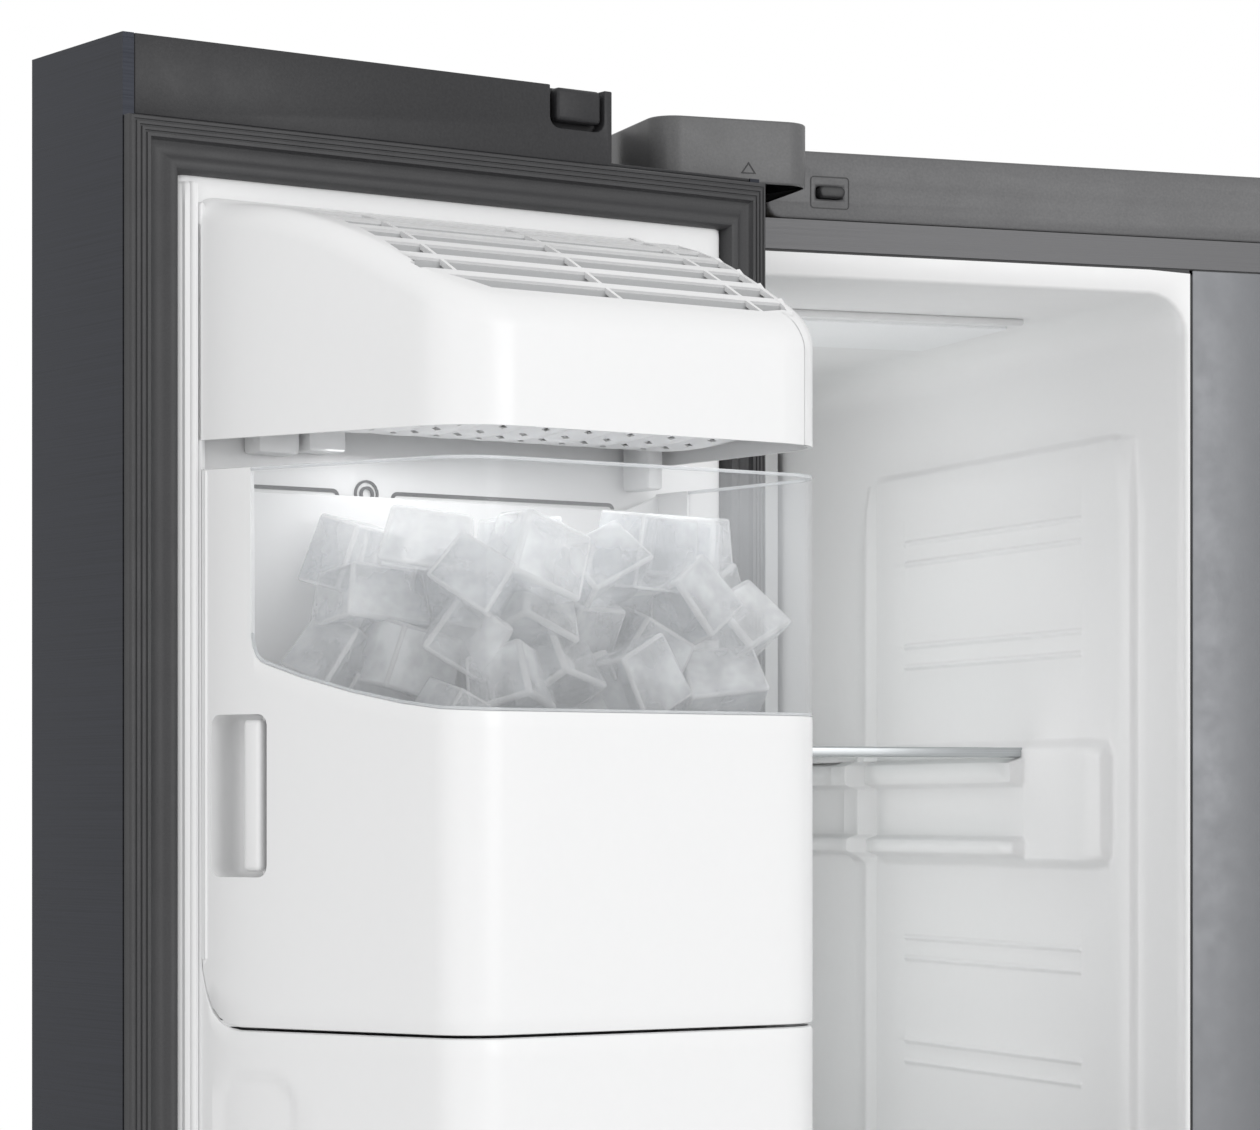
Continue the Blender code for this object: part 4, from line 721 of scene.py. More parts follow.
def in_slot(a, n):
    if a > SLOT_RIGHT or a < slot_left(n):
        return False
    if any(abs(a - past_slot_start(rib, n)) < 0.0012 for rib in RIB_PLACES):
        return False
    return any(front - SLOT_DEPTH < n < front for front in SLOT_FRONTS)


def ice_hood():
    """The hood: one moulded skin with a slotted top, rounded into its sides."""
    rows = hood_rows()
    plain = [(a, n) for n in rows for a in hood_columns(n)]
    height, width = len(rows), len(plain) // len(rows)
    points = [hood_point(a, n) for a, n in plain]
    faces = []
    for face in grid_faces(height, width, close_columns=False):
        if not in_slot(sum(plain[i][0] for i in face) / 4, sum(plain[i][1] for i in face) / 4):
            faces.append(face)
    rim = [i * width for i in range(height)] + [(height - 1) * width + j for j in range(1, width)]
    rim += [i * width + width - 1 for i in reversed(range(height - 1))]
    upper = rim
    for level in (0.5, 0.97, 1.0):
        lower = range(len(points), len(points) + len(rim))
        points += [(a, n, z + (HOOD_BOTTOM - z) * level) for a, n, z in (points[i] for i in rim)]
        faces += [(upper[i], upper[i + 1], lower[i + 1], lower[i]) for i in range(len(rim) - 1)]
        upper = lower
    shape = mesh_of([freezer_door(*point) for point in points], faces)
    bmesh.ops.remove_doubles(shape, verts=shape.verts, dist=0.00005)
    thicken(shape, 0.0026, UPWARDS)
    piece("ice_maker_hood", shape, WHITE, "freezer_door", ("ice_maker_cover",))


def ice_hood_slats():
    """The deep slats and ribs under the hood's slots. Their plastic is white, greyed here: painted shade for
    the shade between the slats.
    """
    boxes = []
    for front in SLOT_FRONTS:
        for n in (front + 0.0008, front - SLOT_DEPTH - 0.0008):
            top = smooth_height(n) - 0.0018
            boxes.append(((slot_left(n) + 0.002, n - 0.0007, top - 0.0085),
                          (SLOT_RIGHT - 0.001, n + 0.0007, top)))
    for rib in RIB_PLACES:
        for front in SLOT_FRONTS:
            top = smooth_height(front) - 0.0015
            a = max(rib, slot_left(front - SLOT_DEPTH / 2) + 0.006)
            boxes.append(((a - 0.0009, front - SLOT_DEPTH - 0.001, top - 0.0085),
                          (a + 0.0009, front + 0.001, top)))
    blocks("ice_hood_slats", freezer_door, boxes, 0.0004, SLAT_PAINTED_SHADE, segments=1)


def ice_hood_painted_shade_sheet():
    """A grey sheet under the hood's slots that shows through them: painted shade, standing for the shade
    beneath the slots.
    """
    steps = [0.018 + 0.009 * i for i in range(15)]
    points = []
    for n in steps:
        low, high = slot_left(n) + 0.001, SLOT_RIGHT - 0.0005
        z = smooth_height(n) - 0.0125
        places = ((low, z - 0.003), (low + 0.002, z), (high - 0.002, z), (high, z - 0.003))
        points += [freezer_door(a, n, height) for a, height in places]
    shape = mesh_of(points, grid_faces(len(steps), 4, close_columns=False))
    thicken(shape, 0.001, UPWARDS)
    piece("ice_hood_painted_shade_sheet", shape, KEY_GREY_AND_PAINTED_SHADE, "freezer_door", sharp=60)


# The bucket, its window and the bulge below it, all on one rounded plan.

BUCKET_TOP, BUCKET_BACK_TOP, BUCKET_BOTTOM = 1.566, 1.5565, 1.2905
WINDOW_EDGE = in_metres((38.4, 1566), (38.8, 1483), (39.8, 1477), (41.5, 1473), (44, 1470.5),
                        (47.2, 1469), (67.7, 1462.2), (96.5, 1454.5), (125, 1448.7), (147, 1445.7),
                        (163, 1444.8))
SEAM_EDGE = in_metres((9.5, 1323.5), (10.5, 1316), (12.5, 1307.5), (15.5, 1300), (20, 1294.8),
                      (26, 1291.7), (32, 1290.7), (163, 1290.5))
SIDE_STEPS = [step / 1000 for step in (9.5, 10.5, 12.5, 15.5, 20, 26, 32, 38.4, 38.8, 39.8, 41.5, 44,
                                      47.2, 54, 61, 67.7, 78, 87, 96.5, 106, 116, 125)]
SEAM_GAP = 0.0014
BULGE_LOW = 0.905
BULGE_LID = (1.2855, 1.2878)
STRIP_TOP, STRIP_DEPTH = 1.6985, 0.0092
BULGE_PANEL = ((0.018, 0.94), (0.064, 1.2675), 0.016)
PLAN_MIDDLE = 0.2


def plan_path(back):
    """The plan from the back up the slanted side, across the front and down the other side, as (a, n)."""
    outline = [(left_side(n), n) for n in back if n < 0.132]
    corner = (ICE_LEFT_FRONT, ICE_FRONT)
    lead = Vector((left_side(0) - corner[0], 0 - corner[1])).normalized()
    along = Vector((1, 0))
    radius = 0.03
    half = lead.angle(along) / 2
    centre = Vector(corner) + (lead + along).normalized() * radius / math.sin(half)
    start = math.atan2(*reversed(Vector(corner) + lead * radius / math.tan(half) - centre))
    outline += arc(centre, radius, start, QUARTER, 9)
    outline += [(0.14 + 0.0145 * i, ICE_FRONT) for i in range(10)]
    outline += arc((ICE_RIGHT - RIGHT_CORNER, ICE_FRONT - RIGHT_CORNER), RIGHT_CORNER, QUARTER, 0, 9)
    outline += [(ICE_RIGHT, n) for n in sorted(back, reverse=True) if n < ICE_FRONT - RIGHT_CORNER]
    return [Vector(point) for point in outline]


def outward(path, i, closed):
    last = len(path) - 1
    before = path[i - 1] if i or closed else path[i]
    after = path[(i + 1) % len(path)] if i < last or closed else path[i]
    along = (after - before).normalized()
    return Vector((-along.y, along.x))


def band(path, low, high, thickness, levels, closed=False, dent=None, lip=0.0012):
    """A wall that follows the path between two heights, each a function of the path point, rounded at its
    rims. levels are shares of the height, and dent pushes places of the outer side in."""
    points = []
    rim = [(lip, 0.0), (lip * 0.3, lip * 0.3), (0.0, lip)]
    soft = lip * 0.6
    for i, spot in enumerate(path):
        normal = outward(path, i, closed)
        bottom, top = low(spot), high(spot)
        column = [(inset, bottom + up) for inset, up in rim]
        column += [(0.0, bottom + lip + (top - bottom - 2 * lip) * share) for share in levels]
        column += [(inset, top - up) for inset, up in reversed(rim)]
        column += [(thickness - soft, top), (thickness, top - soft), (thickness, bottom + soft),
                   (thickness - soft, bottom)]
        for inset, z in column:
            if dent and inset == 0.0:
                inset = dent(spot, z)
            place = spot - normal * inset
            points.append(freezer_door(place.x, place.y, z))
    rows, width = len(path), len(points) // len(path)
    faces = grid_faces(rows, width, close_rows=True) if closed else tube_faces(rows, width)
    return mesh_of(points, faces)


def plate(path, low, high):
    """A flat sheet that ends inside the wall along the path."""
    inner = [spot - outward(path, i, False) * 0.0015 for i, spot in enumerate(path)]
    points = [freezer_door(spot.x, max(spot.y, -0.001), z) for z in (low, high) for spot in inner]
    return mesh_of(points, tube_faces(2, len(inner)))


def wall_top(spot):
    """The window's lower edge: it curves up the slanted side, and stays level round the other one."""
    if spot.x > PLAN_MIDDLE:
        return WINDOW_EDGE[0][1] if spot.y < 0.0386 else WINDOW_EDGE[-1][1]
    return curve_height(WINDOW_EDGE, spot.y)


def wall_bottom(spot):
    return curve_height(SEAM_EDGE, spot.y) if spot.x < PLAN_MIDDLE else SEAM_EDGE[-1][1]


def combine(shape, steps):
    """Joins or cuts other shapes into one, in order: each step is (operation, shape)."""
    made = []
    for part in [shape] + [other for _, other in steps]:
        face_outwards(part)
        made.append(put("working", part))
    for (operation, _), other in zip(steps, made[1:]):
        modifier = made[0].modifiers.new(operation, "BOOLEAN")
        modifier.operation = operation
        modifier.solver = "MANIFOLD"
        modifier.object = other
    bpy.context.view_layer.update()
    evaluated = made[0].evaluated_get(bpy.context.evaluated_depsgraph_get())
    result = bmesh.new()
    result.from_mesh(evaluated.to_mesh())
    evaluated.to_mesh_clear()
    for obj in made:
        mesh = obj.data
        bpy.data.objects.remove(obj)
        bpy.data.meshes.remove(mesh)
    return result


def slant_place(along, inward, z):
    """A place on the slanted side: along it from the back, and inward from its face."""
    length = math.hypot(1, SIDE_SLOPE)
    n = along / length - inward * SIDE_SLOPE / length
    a = left_side(0) + along * SIDE_SLOPE / length + inward / length
    return freezer_door(a, n, z)


def bucket():
    """The white bucket: walls cut low for the window, floor, and a grip pocket with its bar."""
    path = plan_path(SIDE_STEPS)
    depth = SIDE_STEPS[0]
    back = [Vector((ICE_RIGHT - (ICE_RIGHT - left_side(depth)) * i / 12, depth)) for i in range(1, 12)]

    def top(spot):
        return BUCKET_BACK_TOP if spot in back else wall_top(spot)

    shape = band(path + back, wall_bottom, top, 0.003, (0.05, 0.2, 0.4, 0.6, 0.8, 0.95), closed=True)
    pocket = soft_box(slant_place, (0.0135, 0.0005, 1.3615), (0.054, 0.0235, 1.4475), 0.003)
    hollow = soft_box(slant_place, (0.016, -0.01, 1.3645), (0.0512, 0.021, 1.4445), 0.0055, 4)
    bar = soft_box(slant_place, (0.0352, 0.0004, 1.3675), (0.0466, 0.0075, 1.442), 0.0028, 4)
    stem = soft_box(slant_place, (0.0445, 0.005, 1.366), (0.046, 0.022, 1.4435), 0.0004, 1)
    floor_plate = plate(path, BUCKET_BOTTOM + 0.0004, BUCKET_BOTTOM + 0.0034)
    steps = [("UNION", floor_plate), ("UNION", pocket), ("DIFFERENCE", hollow),
             ("UNION", bar), ("UNION", stem)]
    piece("ice_bucket_body", combine(shape, steps), WHITE, "ice_bucket", ("ice_bucket",), sharp=35)


def bucket_window():
    """The clear band above the bucket, a little thinner than its wall, and its two edges, in a more opaque
    clear that stands for the highlight on the rim: painted highlight.
    """
    path = [spot for spot in plan_path(SIDE_STEPS) if spot.y >= 0.0388]
    shape = band(path, lambda spot: wall_top(spot) + 0.0002, lambda spot: BUCKET_TOP - 0.0004, 0.0022,
                 (0.0, 0.3, 0.6, 1.0), lip=0.0005)
    piece("bucket_clear_window", shape, CLEAR, "ice_bucket", ("ice_bucket_window",), sharp=30)
    # The two rim bands are a painted highlight.
    for name, low, high in (
            ("upper", lambda spot: BUCKET_TOP - 0.0018, lambda spot: BUCKET_TOP - 0.0002),
            ("lower", lambda spot: wall_top(spot), lambda spot: wall_top(spot) + 0.0014)):
        shape = band(path, low, high, 0.0026, (0.5,), lip=0.0004)
        piece(f"bucket_window_{name}_edge", shape, CLEAR_PAINTED_RIM_HIGHLIGHT, "ice_bucket", sharp=30)


def bulge_dent(spot, z):
    """The shallow rounded panel pressed into the bulge's slanted side."""
    if spot.x > PLAN_MIDDLE:
        return 0.0
    return 0.0013 * (1 - smooth(rounded_gap(spot.y, z, *BULGE_PANEL), -0.0022, 0.0022))


def bulge():
    """The white bulge below the bucket, with a thin strip of it running up beside the bucket's back edge."""
    steps = sorted({*SIDE_STEPS, 0.0, 0.004, 0.0088, 0.0094} | {0.012 + 0.004 * i for i in range(14)})
    path = plan_path(steps)

    def top(spot):
        in_strip = spot.y < STRIP_DEPTH and spot.x < PLAN_MIDDLE
        return STRIP_TOP if in_strip else wall_bottom(spot) - SEAM_GAP

    levels = sorted({i / 14 for i in range(1, 13)} | {0.86 + 0.0092 * i for i in range(14)})
    shape = band(path, lambda spot: BULGE_LOW, top, 0.003, levels, dent=bulge_dent, lip=0.002)
    sheets = [plate(path, *BULGE_LID), plate(path, BULGE_LOW, BULGE_LOW + 0.003)]
    shape = combine(shape, [("UNION", sheet) for sheet in sheets])
    piece("dispenser_bulge", shape, WHITE, "freezer_door", sharp=35)


def fluted_edge():
    """The stepped upright moulding between the gasket and the bucket, as one extruded strip."""
    profile = in_metres((28.5, -1.5), (28.5, 1.8), (29.1, 3.2), (30.6, 4), (31.2, 4.2), (31.8, 5.8),
                        (33.6, 6.4), (34.2, 6.6), (34.7, 8.3), (36.2, 9), (36.6, 8), (38, 8),
                        (38, -1.5))
    ends = ((0.11, 0.0012), (0.1115, 0.0), (1.6965, 0.0), (1.707, 0.0), (1.7085, 0.0012))
    points = [freezer_door(a, max(-0.0015, n - sink), z) for z, sink in ends for a, n in profile]
    shape = mesh_of(points, tube_faces(len(ends), len(profile)))
    piece("door_edge_moulding", shape, WHITE, "freezer_door", sharp=50)


def door_pan(door, place, width):
    """The door's white inner plate, with rounded corners and a soft step where it rises from the gasket."""
    low, high = (0.0075, 0.0665), (width - 0.0075, 1.735)
    rings = [(0.0000, -0.0022, 0.003), (0.0000, -0.0005, 0.003), (0.0205, -0.0005, 0.004),
             (0.0213, 0.0012, 0.0045), (0.0222, 0.0026, 0.005), (0.024, 0.0032, 0.005),
             (0.03, 0.0032, 0.005)]
    points = []
    for inset, n, radius in rings:
        points += [place(a, n, z) for a, z in rounded_outline(low, high, inset, inset + radius)]
    shape = mesh_of(points, tube_faces(len(rings), len(points) // len(rings)))
    piece(door + "_pan", shape, WHITE, door, (door + "_liner",), sharp=50)


# Ice in the bucket, and what lies behind it.

WALL_CLEARANCE = 0.0045
BUCKET_DOOR_SIDE = 0.0135
BUCKET_FLOOR = BUCKET_BOTTOM + 0.0035
AUGER_PLACE, AUGER_RADIUS, AUGER_TOP = Vector((0.205, 0.084)), 0.06, 1.436
HEAP_TOP = 1.548
HEAP_TRIES, HEAP_MISSES = 26, 14
CUBE_REACH = 0.43
PAINTED_HIGHLIGHT_STRIP = 0.3


def ice_size(rng):
    return Vector((rng.uniform(0.034, 0.046), rng.uniform(0.034, 0.046), rng.uniform(0.028, 0.038)))


def settle(walls, spot, corners, reach, placed):
    """The lowest height at which an ice cube clears the walls, the auger and the cubes below, or None."""
    flat = [Vector((spot.x + c.x, spot.y + c.y)) for c in corners]
    for point in flat:
        if point.y < BUCKET_DOOR_SIDE:
            return None
        if any((point - at).dot(normal) > -WALL_CLEARANCE for at, normal in walls):
            return None
    lowest, highest = min(c.z for c in corners), max(c.z for c in corners)
    z = BUCKET_FLOOR - lowest
    if any((point - AUGER_PLACE).length < AUGER_RADIUS for point in flat + [spot]):
        z = max(z, AUGER_TOP - lowest)
    while z + highest < HEAP_TOP:
        place = Vector((spot.x, spot.y, z))
        if all((place - at).length > CUBE_REACH * (reach + other) for at, other in placed):
            return z
        z += 0.002
    return None


def ice_cube(rng, size):
    """One cube with melted edges, a little narrower at its top. Its rounded edges have the second material, a
    brighter, more opaque clear that stands for the highlights along them: painted highlight.
    """
    shape = bmesh.new()
    bmesh.ops.create_cube(shape, size=1.0)
    for vertex in shape.verts:
        narrow = 0.88 if vertex.co.z > 0 else 1.0
        vertex.co = Vector((vertex.co.x * size.x * narrow, vertex.co.y * size.y * narrow,
                            vertex.co.z * size.z))
        vertex.co += Vector([rng.uniform(-0.0009, 0.0009) for _ in range(3)])
    round_edges(shape, shape.edges, rng.uniform(0.0014, 0.003), 3)
    side = max(face.calc_area() for face in shape.faces)
    # The narrow faces of the rounded edges get the painted highlight.
    for face in shape.faces:
        face.material_index = int(face.calc_area() < PAINTED_HIGHLIGHT_STRIP * side)
    return shape


def ice_heap():
    """Ice that fills the bucket to above the window's middle: each cube settles on those below it."""
    rng = random.Random(31)
    path = plan_path(SIDE_STEPS)
    walls = [(spot, outward(path, i, False)) for i, spot in enumerate(path)][::3]
    placed = []
    heap = bmesh.new()
    misses = 0
    while misses < HEAP_MISSES:
        best = None
        for _ in range(HEAP_TRIES):
            size = ice_size(rng)
            turn = Euler([rng.uniform(-0.6, 0.6), rng.uniform(-0.6, 0.6), rng.uniform(0, math.pi)])
            corners = [turn.to_matrix() @ Vector((x * size.x, y * size.y, z * size.z)) / 2
                       for x in (-1, 1) for y in (-1, 1) for z in (-1, 1)]
            spot = Vector((rng.uniform(0.05, 0.31), rng.uniform(0.02, 0.155)))
            height = settle(walls, spot, corners, sum(size) / 3, placed)
            if height is not None and (best is None or height < best[0]):
                best = (height, spot, size, turn)
        if best is None:
            misses += 1
            continue
        misses = 0
        height, spot, size, turn = best
        placed.append((Vector((spot.x, spot.y, height)), sum(size) / 3))
        cube = ice_cube(rng, size)
        for vertex in cube.verts:
            local = turn.to_matrix() @ vertex.co
            vertex.co = freezer_door(spot.x + local.x, spot.y + local.y, height + local.z)
        add_to(heap, cube)
    cubes = piece("ice_cubes", heap, ICE, "ice_bucket", sharp=180)
    # The second material: the painted highlight on the cubes' edges.
    cubes.data.materials.append(ICE_PAINTED_EDGE_HIGHLIGHT)


def behind_bucket():
    """Grooves and a screw boss in the door's wall, seen through the window over the bucket's back, drawn as
    dark lines: painted shade in the grooves and round the boss.
    """
    a, z = 0.139, 1.5585
    outer, inner = 0.0072, 0.004
    for name, low, high, radius, line, rise in (
            ("groove_left", (0.058, 1.44), (0.123, 1.5605), 0.004, 0.002, 0.0003),
            ("groove_right", (0.154, 1.44), (0.295, 1.5605), 0.004, 0.002, 0.0003),
            ("boss_outer", (a - outer, z - outer), (a + outer, z + outer), outer, 0.0012, 0.001),
            ("boss_inner", (a - inner, z - inner), (a + inner, z + inner), inner, 0.0012, 0.0016)):
        painted_shade_line("door_wall_" + name, freezer_door, low, high, 0.0033, radius, line, rise,
                   "dark_grey_plastic")


def ice_maker_underside():
    """The scalloped white cover under the ice maker, with rows of small drain holes, and its mount."""
    columns, rows = 97, 25
    a0, a1, n0, n1 = 0.094, 0.3, 0.02, 0.14
    height, scallop, scallop_width = 1.5915, 0.0075, 0.0257
    points = []
    for i in range(rows):
        for j in range(columns):
            a, n = a0 + (a1 - a0) * j / (columns - 1), n0 + (n1 - n0) * i / (rows - 1)
            a = max(a, left_side(n) + 0.01)
            wave = abs(math.sin(math.pi * (a - a0) / scallop_width))
            bow = math.sin(math.pi * (n - n0) / (n1 - n0))
            points.append(freezer_door(a, n, height - scallop * wave * (0.35 + 0.65 * bow)))
    holes = {i * columns + j for i in (5, 9, 13, 17) for j in range(3, columns - 1, 6)}
    faces = [face for face in grid_faces(rows, columns, close_columns=False) if face[0] not in holes]
    shape = mesh_of(points, faces)
    thicken(shape, 0.001, UPWARDS)
    piece("ice_maker_underside", shape, WHITE, "freezer_door")
    boxes = [((0.066, 0.004, 1.575), (0.09, 0.02, 1.59)), ((0.094, 0.006, 1.577), (0.116, 0.022, 1.592)),
             ((0.298, 0.006, 1.5665), (0.308, 0.03, 1.592))]
    blocks("ice_maker_mount", freezer_door, boxes, 0.0022, WHITE)


# Shelves, bins and drawers.


def open_tub(place, low, high, wall, radius, draft, lip):
    """A moulded tub: drafted walls, a rolled lip round its mouth and a coved floor."""
    z0, z1 = low[2], high[2]
    cove = 0.006
    inner = draft + wall
    levels = [(draft + cove, z0), (draft + cove * 0.3, z0 + cove * 0.3), (draft, z0 + cove),
              (lip + 0.0006, z1 - 0.0085), (lip, z1 - 0.008), (0.0004, z1 - 0.0075), (0.0, z1 - 0.007),
              (0.0, z1 - 0.0008), (0.0008, z1), (lip + wall - 0.0008, z1), (lip + wall, z1 - 0.0008),
              (lip + wall, z1 - 0.01), (inner, z0 + cove + wall),
              (inner + cove * 0.3, z0 + wall + cove * 0.3), (inner + cove, z0 + wall)]
    points = []
    for inset, z in levels:
        points += [place(x, y, z) for x, y in rounded_outline(low, high, inset, radius)]
    return mesh_of(points, tube_faces(len(levels), len(points) // len(levels)))


def door_bin(node, place):
    low, high = span(node, place)
    shape = open_tub(place, low, high, 0.0022, 0.014, 0.004, 0.0025)
    piece(node + "_tub", shape, BIN_CLEAR, BODY_OF[place], (node,))
    block(node + "_front_trim", place, (low[0] + 0.012, high[1] - 0.0012, high[2] - 0.025),
          (high[0] - 0.012, high[1], high[2] - 0.011), 0.0006, WHITE)


def drawer(node):
    low, high = span(node, cabinet)
    shape = open_tub(cabinet, low, high, 0.0025, 0.012, 0.006, 0.004)
    piece(node + "_tub", shape, BIN_CLEAR, node, (node,))
    grip = [((low[0] + end, low[1], high[2] - bottom), (high[0] - end, low[1] + depth, high[2] - top))
            for end, bottom, depth, top in ((0.012, 0.034, 0.004, 0.009), (0.06, 0.04, 0.0052, 0.031))]
    blocks(node + "_grip", cabinet, grip, 0.0015, WHITE, node)


def shelf(node):
    """A glass shelf in a moulded frame, with a bright trim along its front."""
    (x0, y0, z0), (x1, y1, z1) = span(node, cabinet)
    block(node + "_glass", cabinet, (x0, y0 + 0.006, z1 - 0.0048), (x1, y1 - 0.002, z1 - 0.0008), 0.001,
          GLASS, replaced=(node,))
    block(node + "_trim", cabinet, (x0, y0, z0), (x1, y0 + 0.0075, z1), 0.0012, BRIGHT_STEEL)
    frame_boxes = [((x0, y1 - 0.01, z0), (x1, y1, z1)), ((x0, y0 + 0.004, z0), (x0 + 0.007, y1, z1 - 0.0015)),
                   ((x1 - 0.007, y0 + 0.004, z0), (x1, y1, z1 - 0.0015))]
    blocks(node + "_frame", cabinet, frame_boxes, 0.001, WHITE)


def drawer_ledges(room, left, right):
    """The ledges in the walls that the upper drawer slides on."""
    boxes = [((a, 0.155, 0.353), (b, 0.445, 0.3645))
             for a, b in ((left - 0.001, left + 0.022), (right - 0.022, right + 0.001))]
    blocks(room + "_drawer_ledges", cabinet, boxes, 0.0025, WHITE_LINER)


def dykes(door, place, left, right, top):
    """The upright ribs on the door that hold its bins."""
    boxes = [((a, 0.0, 0.13), (a + 0.0125, 0.06, top)) for a in (left, right - 0.0125)]
    blocks(door + "_dykes", place, boxes, 0.004, WHITE, segments=3)


# The compartments' moulded insides.

FREEZER_ROOM, FRIDGE_ROOM = (-0.411, -0.077), (-0.02, 0.411)
CEILING, FLOOR_Z, LINER_BACK = 1.7065, 0.112, 0.655
STEP_DEPTH, STEP_HEIGHT = 0.455, 0.345
FLANGE_BOTTOM, FLANGE_TOP = 0.0956, 1.7208
TUB_ROUND, BACK_ROUND = 0.024, 0.02
SHELF_FRONT = 0.199
RAIL_GAP = (-0.4276, 0.4276, 1.7185, 1.7226)
TINY = 0.00001


def wall_features(shelves):
    """The wall's mouldings: (low corner, high corner, corner radius, height into the room, softness)."""
    features = [((0.062, 0.64), (0.47, 1.629), 0.03, 0.0044, 0.0034)]
    for shelf_z in shelves:
        features += [
            ((SHELF_FRONT - 0.112, shelf_z - 0.075), (0.5, shelf_z + 0.002), 0.012, 0.0075, 0.004),
            ((SHELF_FRONT - 0.004, shelf_z - 0.0242), (0.58, shelf_z - 0.0078), 0.004, 0.01, 0.0022),
            ((SHELF_FRONT - 0.004, shelf_z - 0.0705), (0.58, shelf_z - 0.059), 0.004, 0.009, 0.0022),
        ]
        for rise in (0.058, 0.129, -0.142, -0.213):
            for shift in (0.0, 0.0142):
                z = shelf_z + rise + shift
                if 0.66 < z < 1.6:
                    features.append(((0.128, z - 0.0014), (0.397, z + 0.0014), 0.0013, 0.0016, 0.0014))
    return features


def wall_push(y, z, features):
    """How far the mouldings bring the wall into the room at a place."""
    total = 0.0
    for low, high, radius, height, soft in features:
        gap = rounded_gap(y, z, low, high, radius)
        if gap < soft:
            total += height * (1 - smooth(gap, -soft, soft))
    return total


def tub_section(left, right, heights, inset, bottom, pushes=None):
    """The walls at one depth as (x, z), anticlockwise from the bottom of the right wall."""
    bend = TUB_ROUND - inset
    low, high = bottom + inset + bend, CEILING - inset - bend
    x0, x1 = left + inset + bend, right - inset - bend
    wall = list(zip(pushes or [0.0] * len(heights), heights))
    across = [x0 + (x1 - x0) * i / 8 for i in range(1, 8)]
    places = [(right - inset, low)]
    places += [(right - inset - push, z) for push, z in wall]
    places += arc((x1, high), bend, 0, QUARTER, 6)
    places += [(x, CEILING - inset) for x in reversed(across)]
    places += arc((x0, high), bend, QUARTER, 2 * QUARTER, 6)
    places += [(left + inset + push, z) for push, z in reversed(wall)]
    places += arc((x0, low), bend, 2 * QUARTER, 3 * QUARTER, 6)
    places += [(x, bottom + inset) for x in across]
    return places + arc((x1, low), bend, 3 * QUARTER, 4 * QUARTER, 6)[:-1]


def flange_section(section, left, right, flange_left, flange_right):
    """The flange's outer edge, with one place for each place of the tub's first section."""
    places = []
    for x, z in section:
        if x < left + TUB_ROUND - TINY:
            x = flange_left
        elif x > right - TUB_ROUND + TINY:
            x = flange_right
        if z > CEILING - TUB_ROUND:
            z = FLANGE_TOP - (CEILING - z) * (FLANGE_TOP - CEILING + TUB_ROUND) / TUB_ROUND
        elif z < FLOOR_Z + TUB_ROUND:
            z = FLANGE_BOTTOM + (z - FLOOR_Z) * (FLOOR_Z + TUB_ROUND - FLANGE_BOTTOM) / TUB_ROUND
        places.append((x, z))
    return places


def tub(room, left, right, flange_left, flange_right, shelves):
    """The liner: a flange at the front, rounded into walls that carry the mouldings."""
    features = wall_features(shelves)
    y_edges = [(f[end][0], f[4]) for f in features for end in (0, 1)]
    z_edges = [(f[end][1], f[4]) for f in features for end in (0, 1)]
    depths = fine_steps(0.012, LINER_BACK - 0.022, y_edges, 0.035)
    heights = fine_steps(STEP_HEIGHT + TUB_ROUND + 0.002, CEILING - TUB_ROUND - 0.002, z_edges, 0.035)

    def section(inset=0.0, bottom=FLOOR_Z, depth=None):
        pushes = None if depth is None else [wall_push(depth, z, features) for z in heights]
        return tub_section(left, right, heights, inset, bottom, pushes)

    flange = flange_section(section(), left, right, flange_left, flange_right)
    rings = [(0.0014, flange), (0.0, flange), (0.0, section(-0.0022)), (0.0008, section(-0.0008)),
             (0.0025, section())]
    rings += [(y, section(depth=y)) for y in depths if y < STEP_DEPTH]
    rings += [(STEP_DEPTH - 0.0005, section()), (STEP_DEPTH, section(bottom=STEP_HEIGHT))]
    rings += [(y, section(0.0, STEP_HEIGHT, y)) for y in depths if y > STEP_DEPTH]
    for share in (0.3, 0.6, 0.85, 1.0):
        angle = QUARTER * share
        rings.append((LINER_BACK - BACK_ROUND * (1 - math.sin(angle)),
                      section(BACK_ROUND * (1 - math.cos(angle)), STEP_HEIGHT)))
    points = [cabinet(x, y, z) for y, places in rings for x, z in places]
    faces = grid_faces(len(rings), len(flange))
    faces.append(tuple(range(len(points) - len(flange), len(points))))
    shape = mesh_of(points, faces)
    bmesh.ops.remove_doubles(shape, verts=shape.verts, dist=TINY)
    thicken(shape, 0.0012, TO_ROOM)
    piece(room + "_tub", shape, WHITE_LINER, "cabinet", (room + "_liner",), sharp=60)


def ceiling_light(room, left, right):
    """The frosted lens let into the ceiling, with its frame."""
    low, high, edge = 0.14, 0.285, 0.008
    block(room + "_light_frame", cabinet, (left, low, CEILING - 0.0045), (right, high, CEILING + 0.0004),
          0.002, WHITE)
    block(room + "_light_lens", cabinet, (left + edge, low + edge, CEILING - 0.0062),
          (right - edge, high - edge, CEILING - 0.0035), 0.0012, LENS)


def mullion():
    """The steel cover between the compartments, and the dark gaps beside it and under the rail."""
    low, high = span("center_mullion", cabinet)
    block("mullion_cover", cabinet, (low[0] + 0.0012, low[1], low[2]),
          (high[0] - 0.0012, high[1], high[2] - 0.0006), 0.0005, MULLION_STEEL, replaced=("center_mullion",))
    gaps = ((low[0] - 0.0008, low[0] + 0.003, low[2], high[2]),
            (high[0] - 0.003, high[0] + 0.0008, low[2], high[2]), RAIL_GAP)
    boxes = [((left, 0.001, bottom), (right, 0.0021, top)) for left, right, bottom, top in gaps]
    blocks("front_gaps", cabinet, boxes, 0.0003, RUBBER, segments=1)


# Stage, light and camera.

WORLD_LIGHT = 0.84
PURE_WHITE = (1.0, 1.0, 1.0, 1)


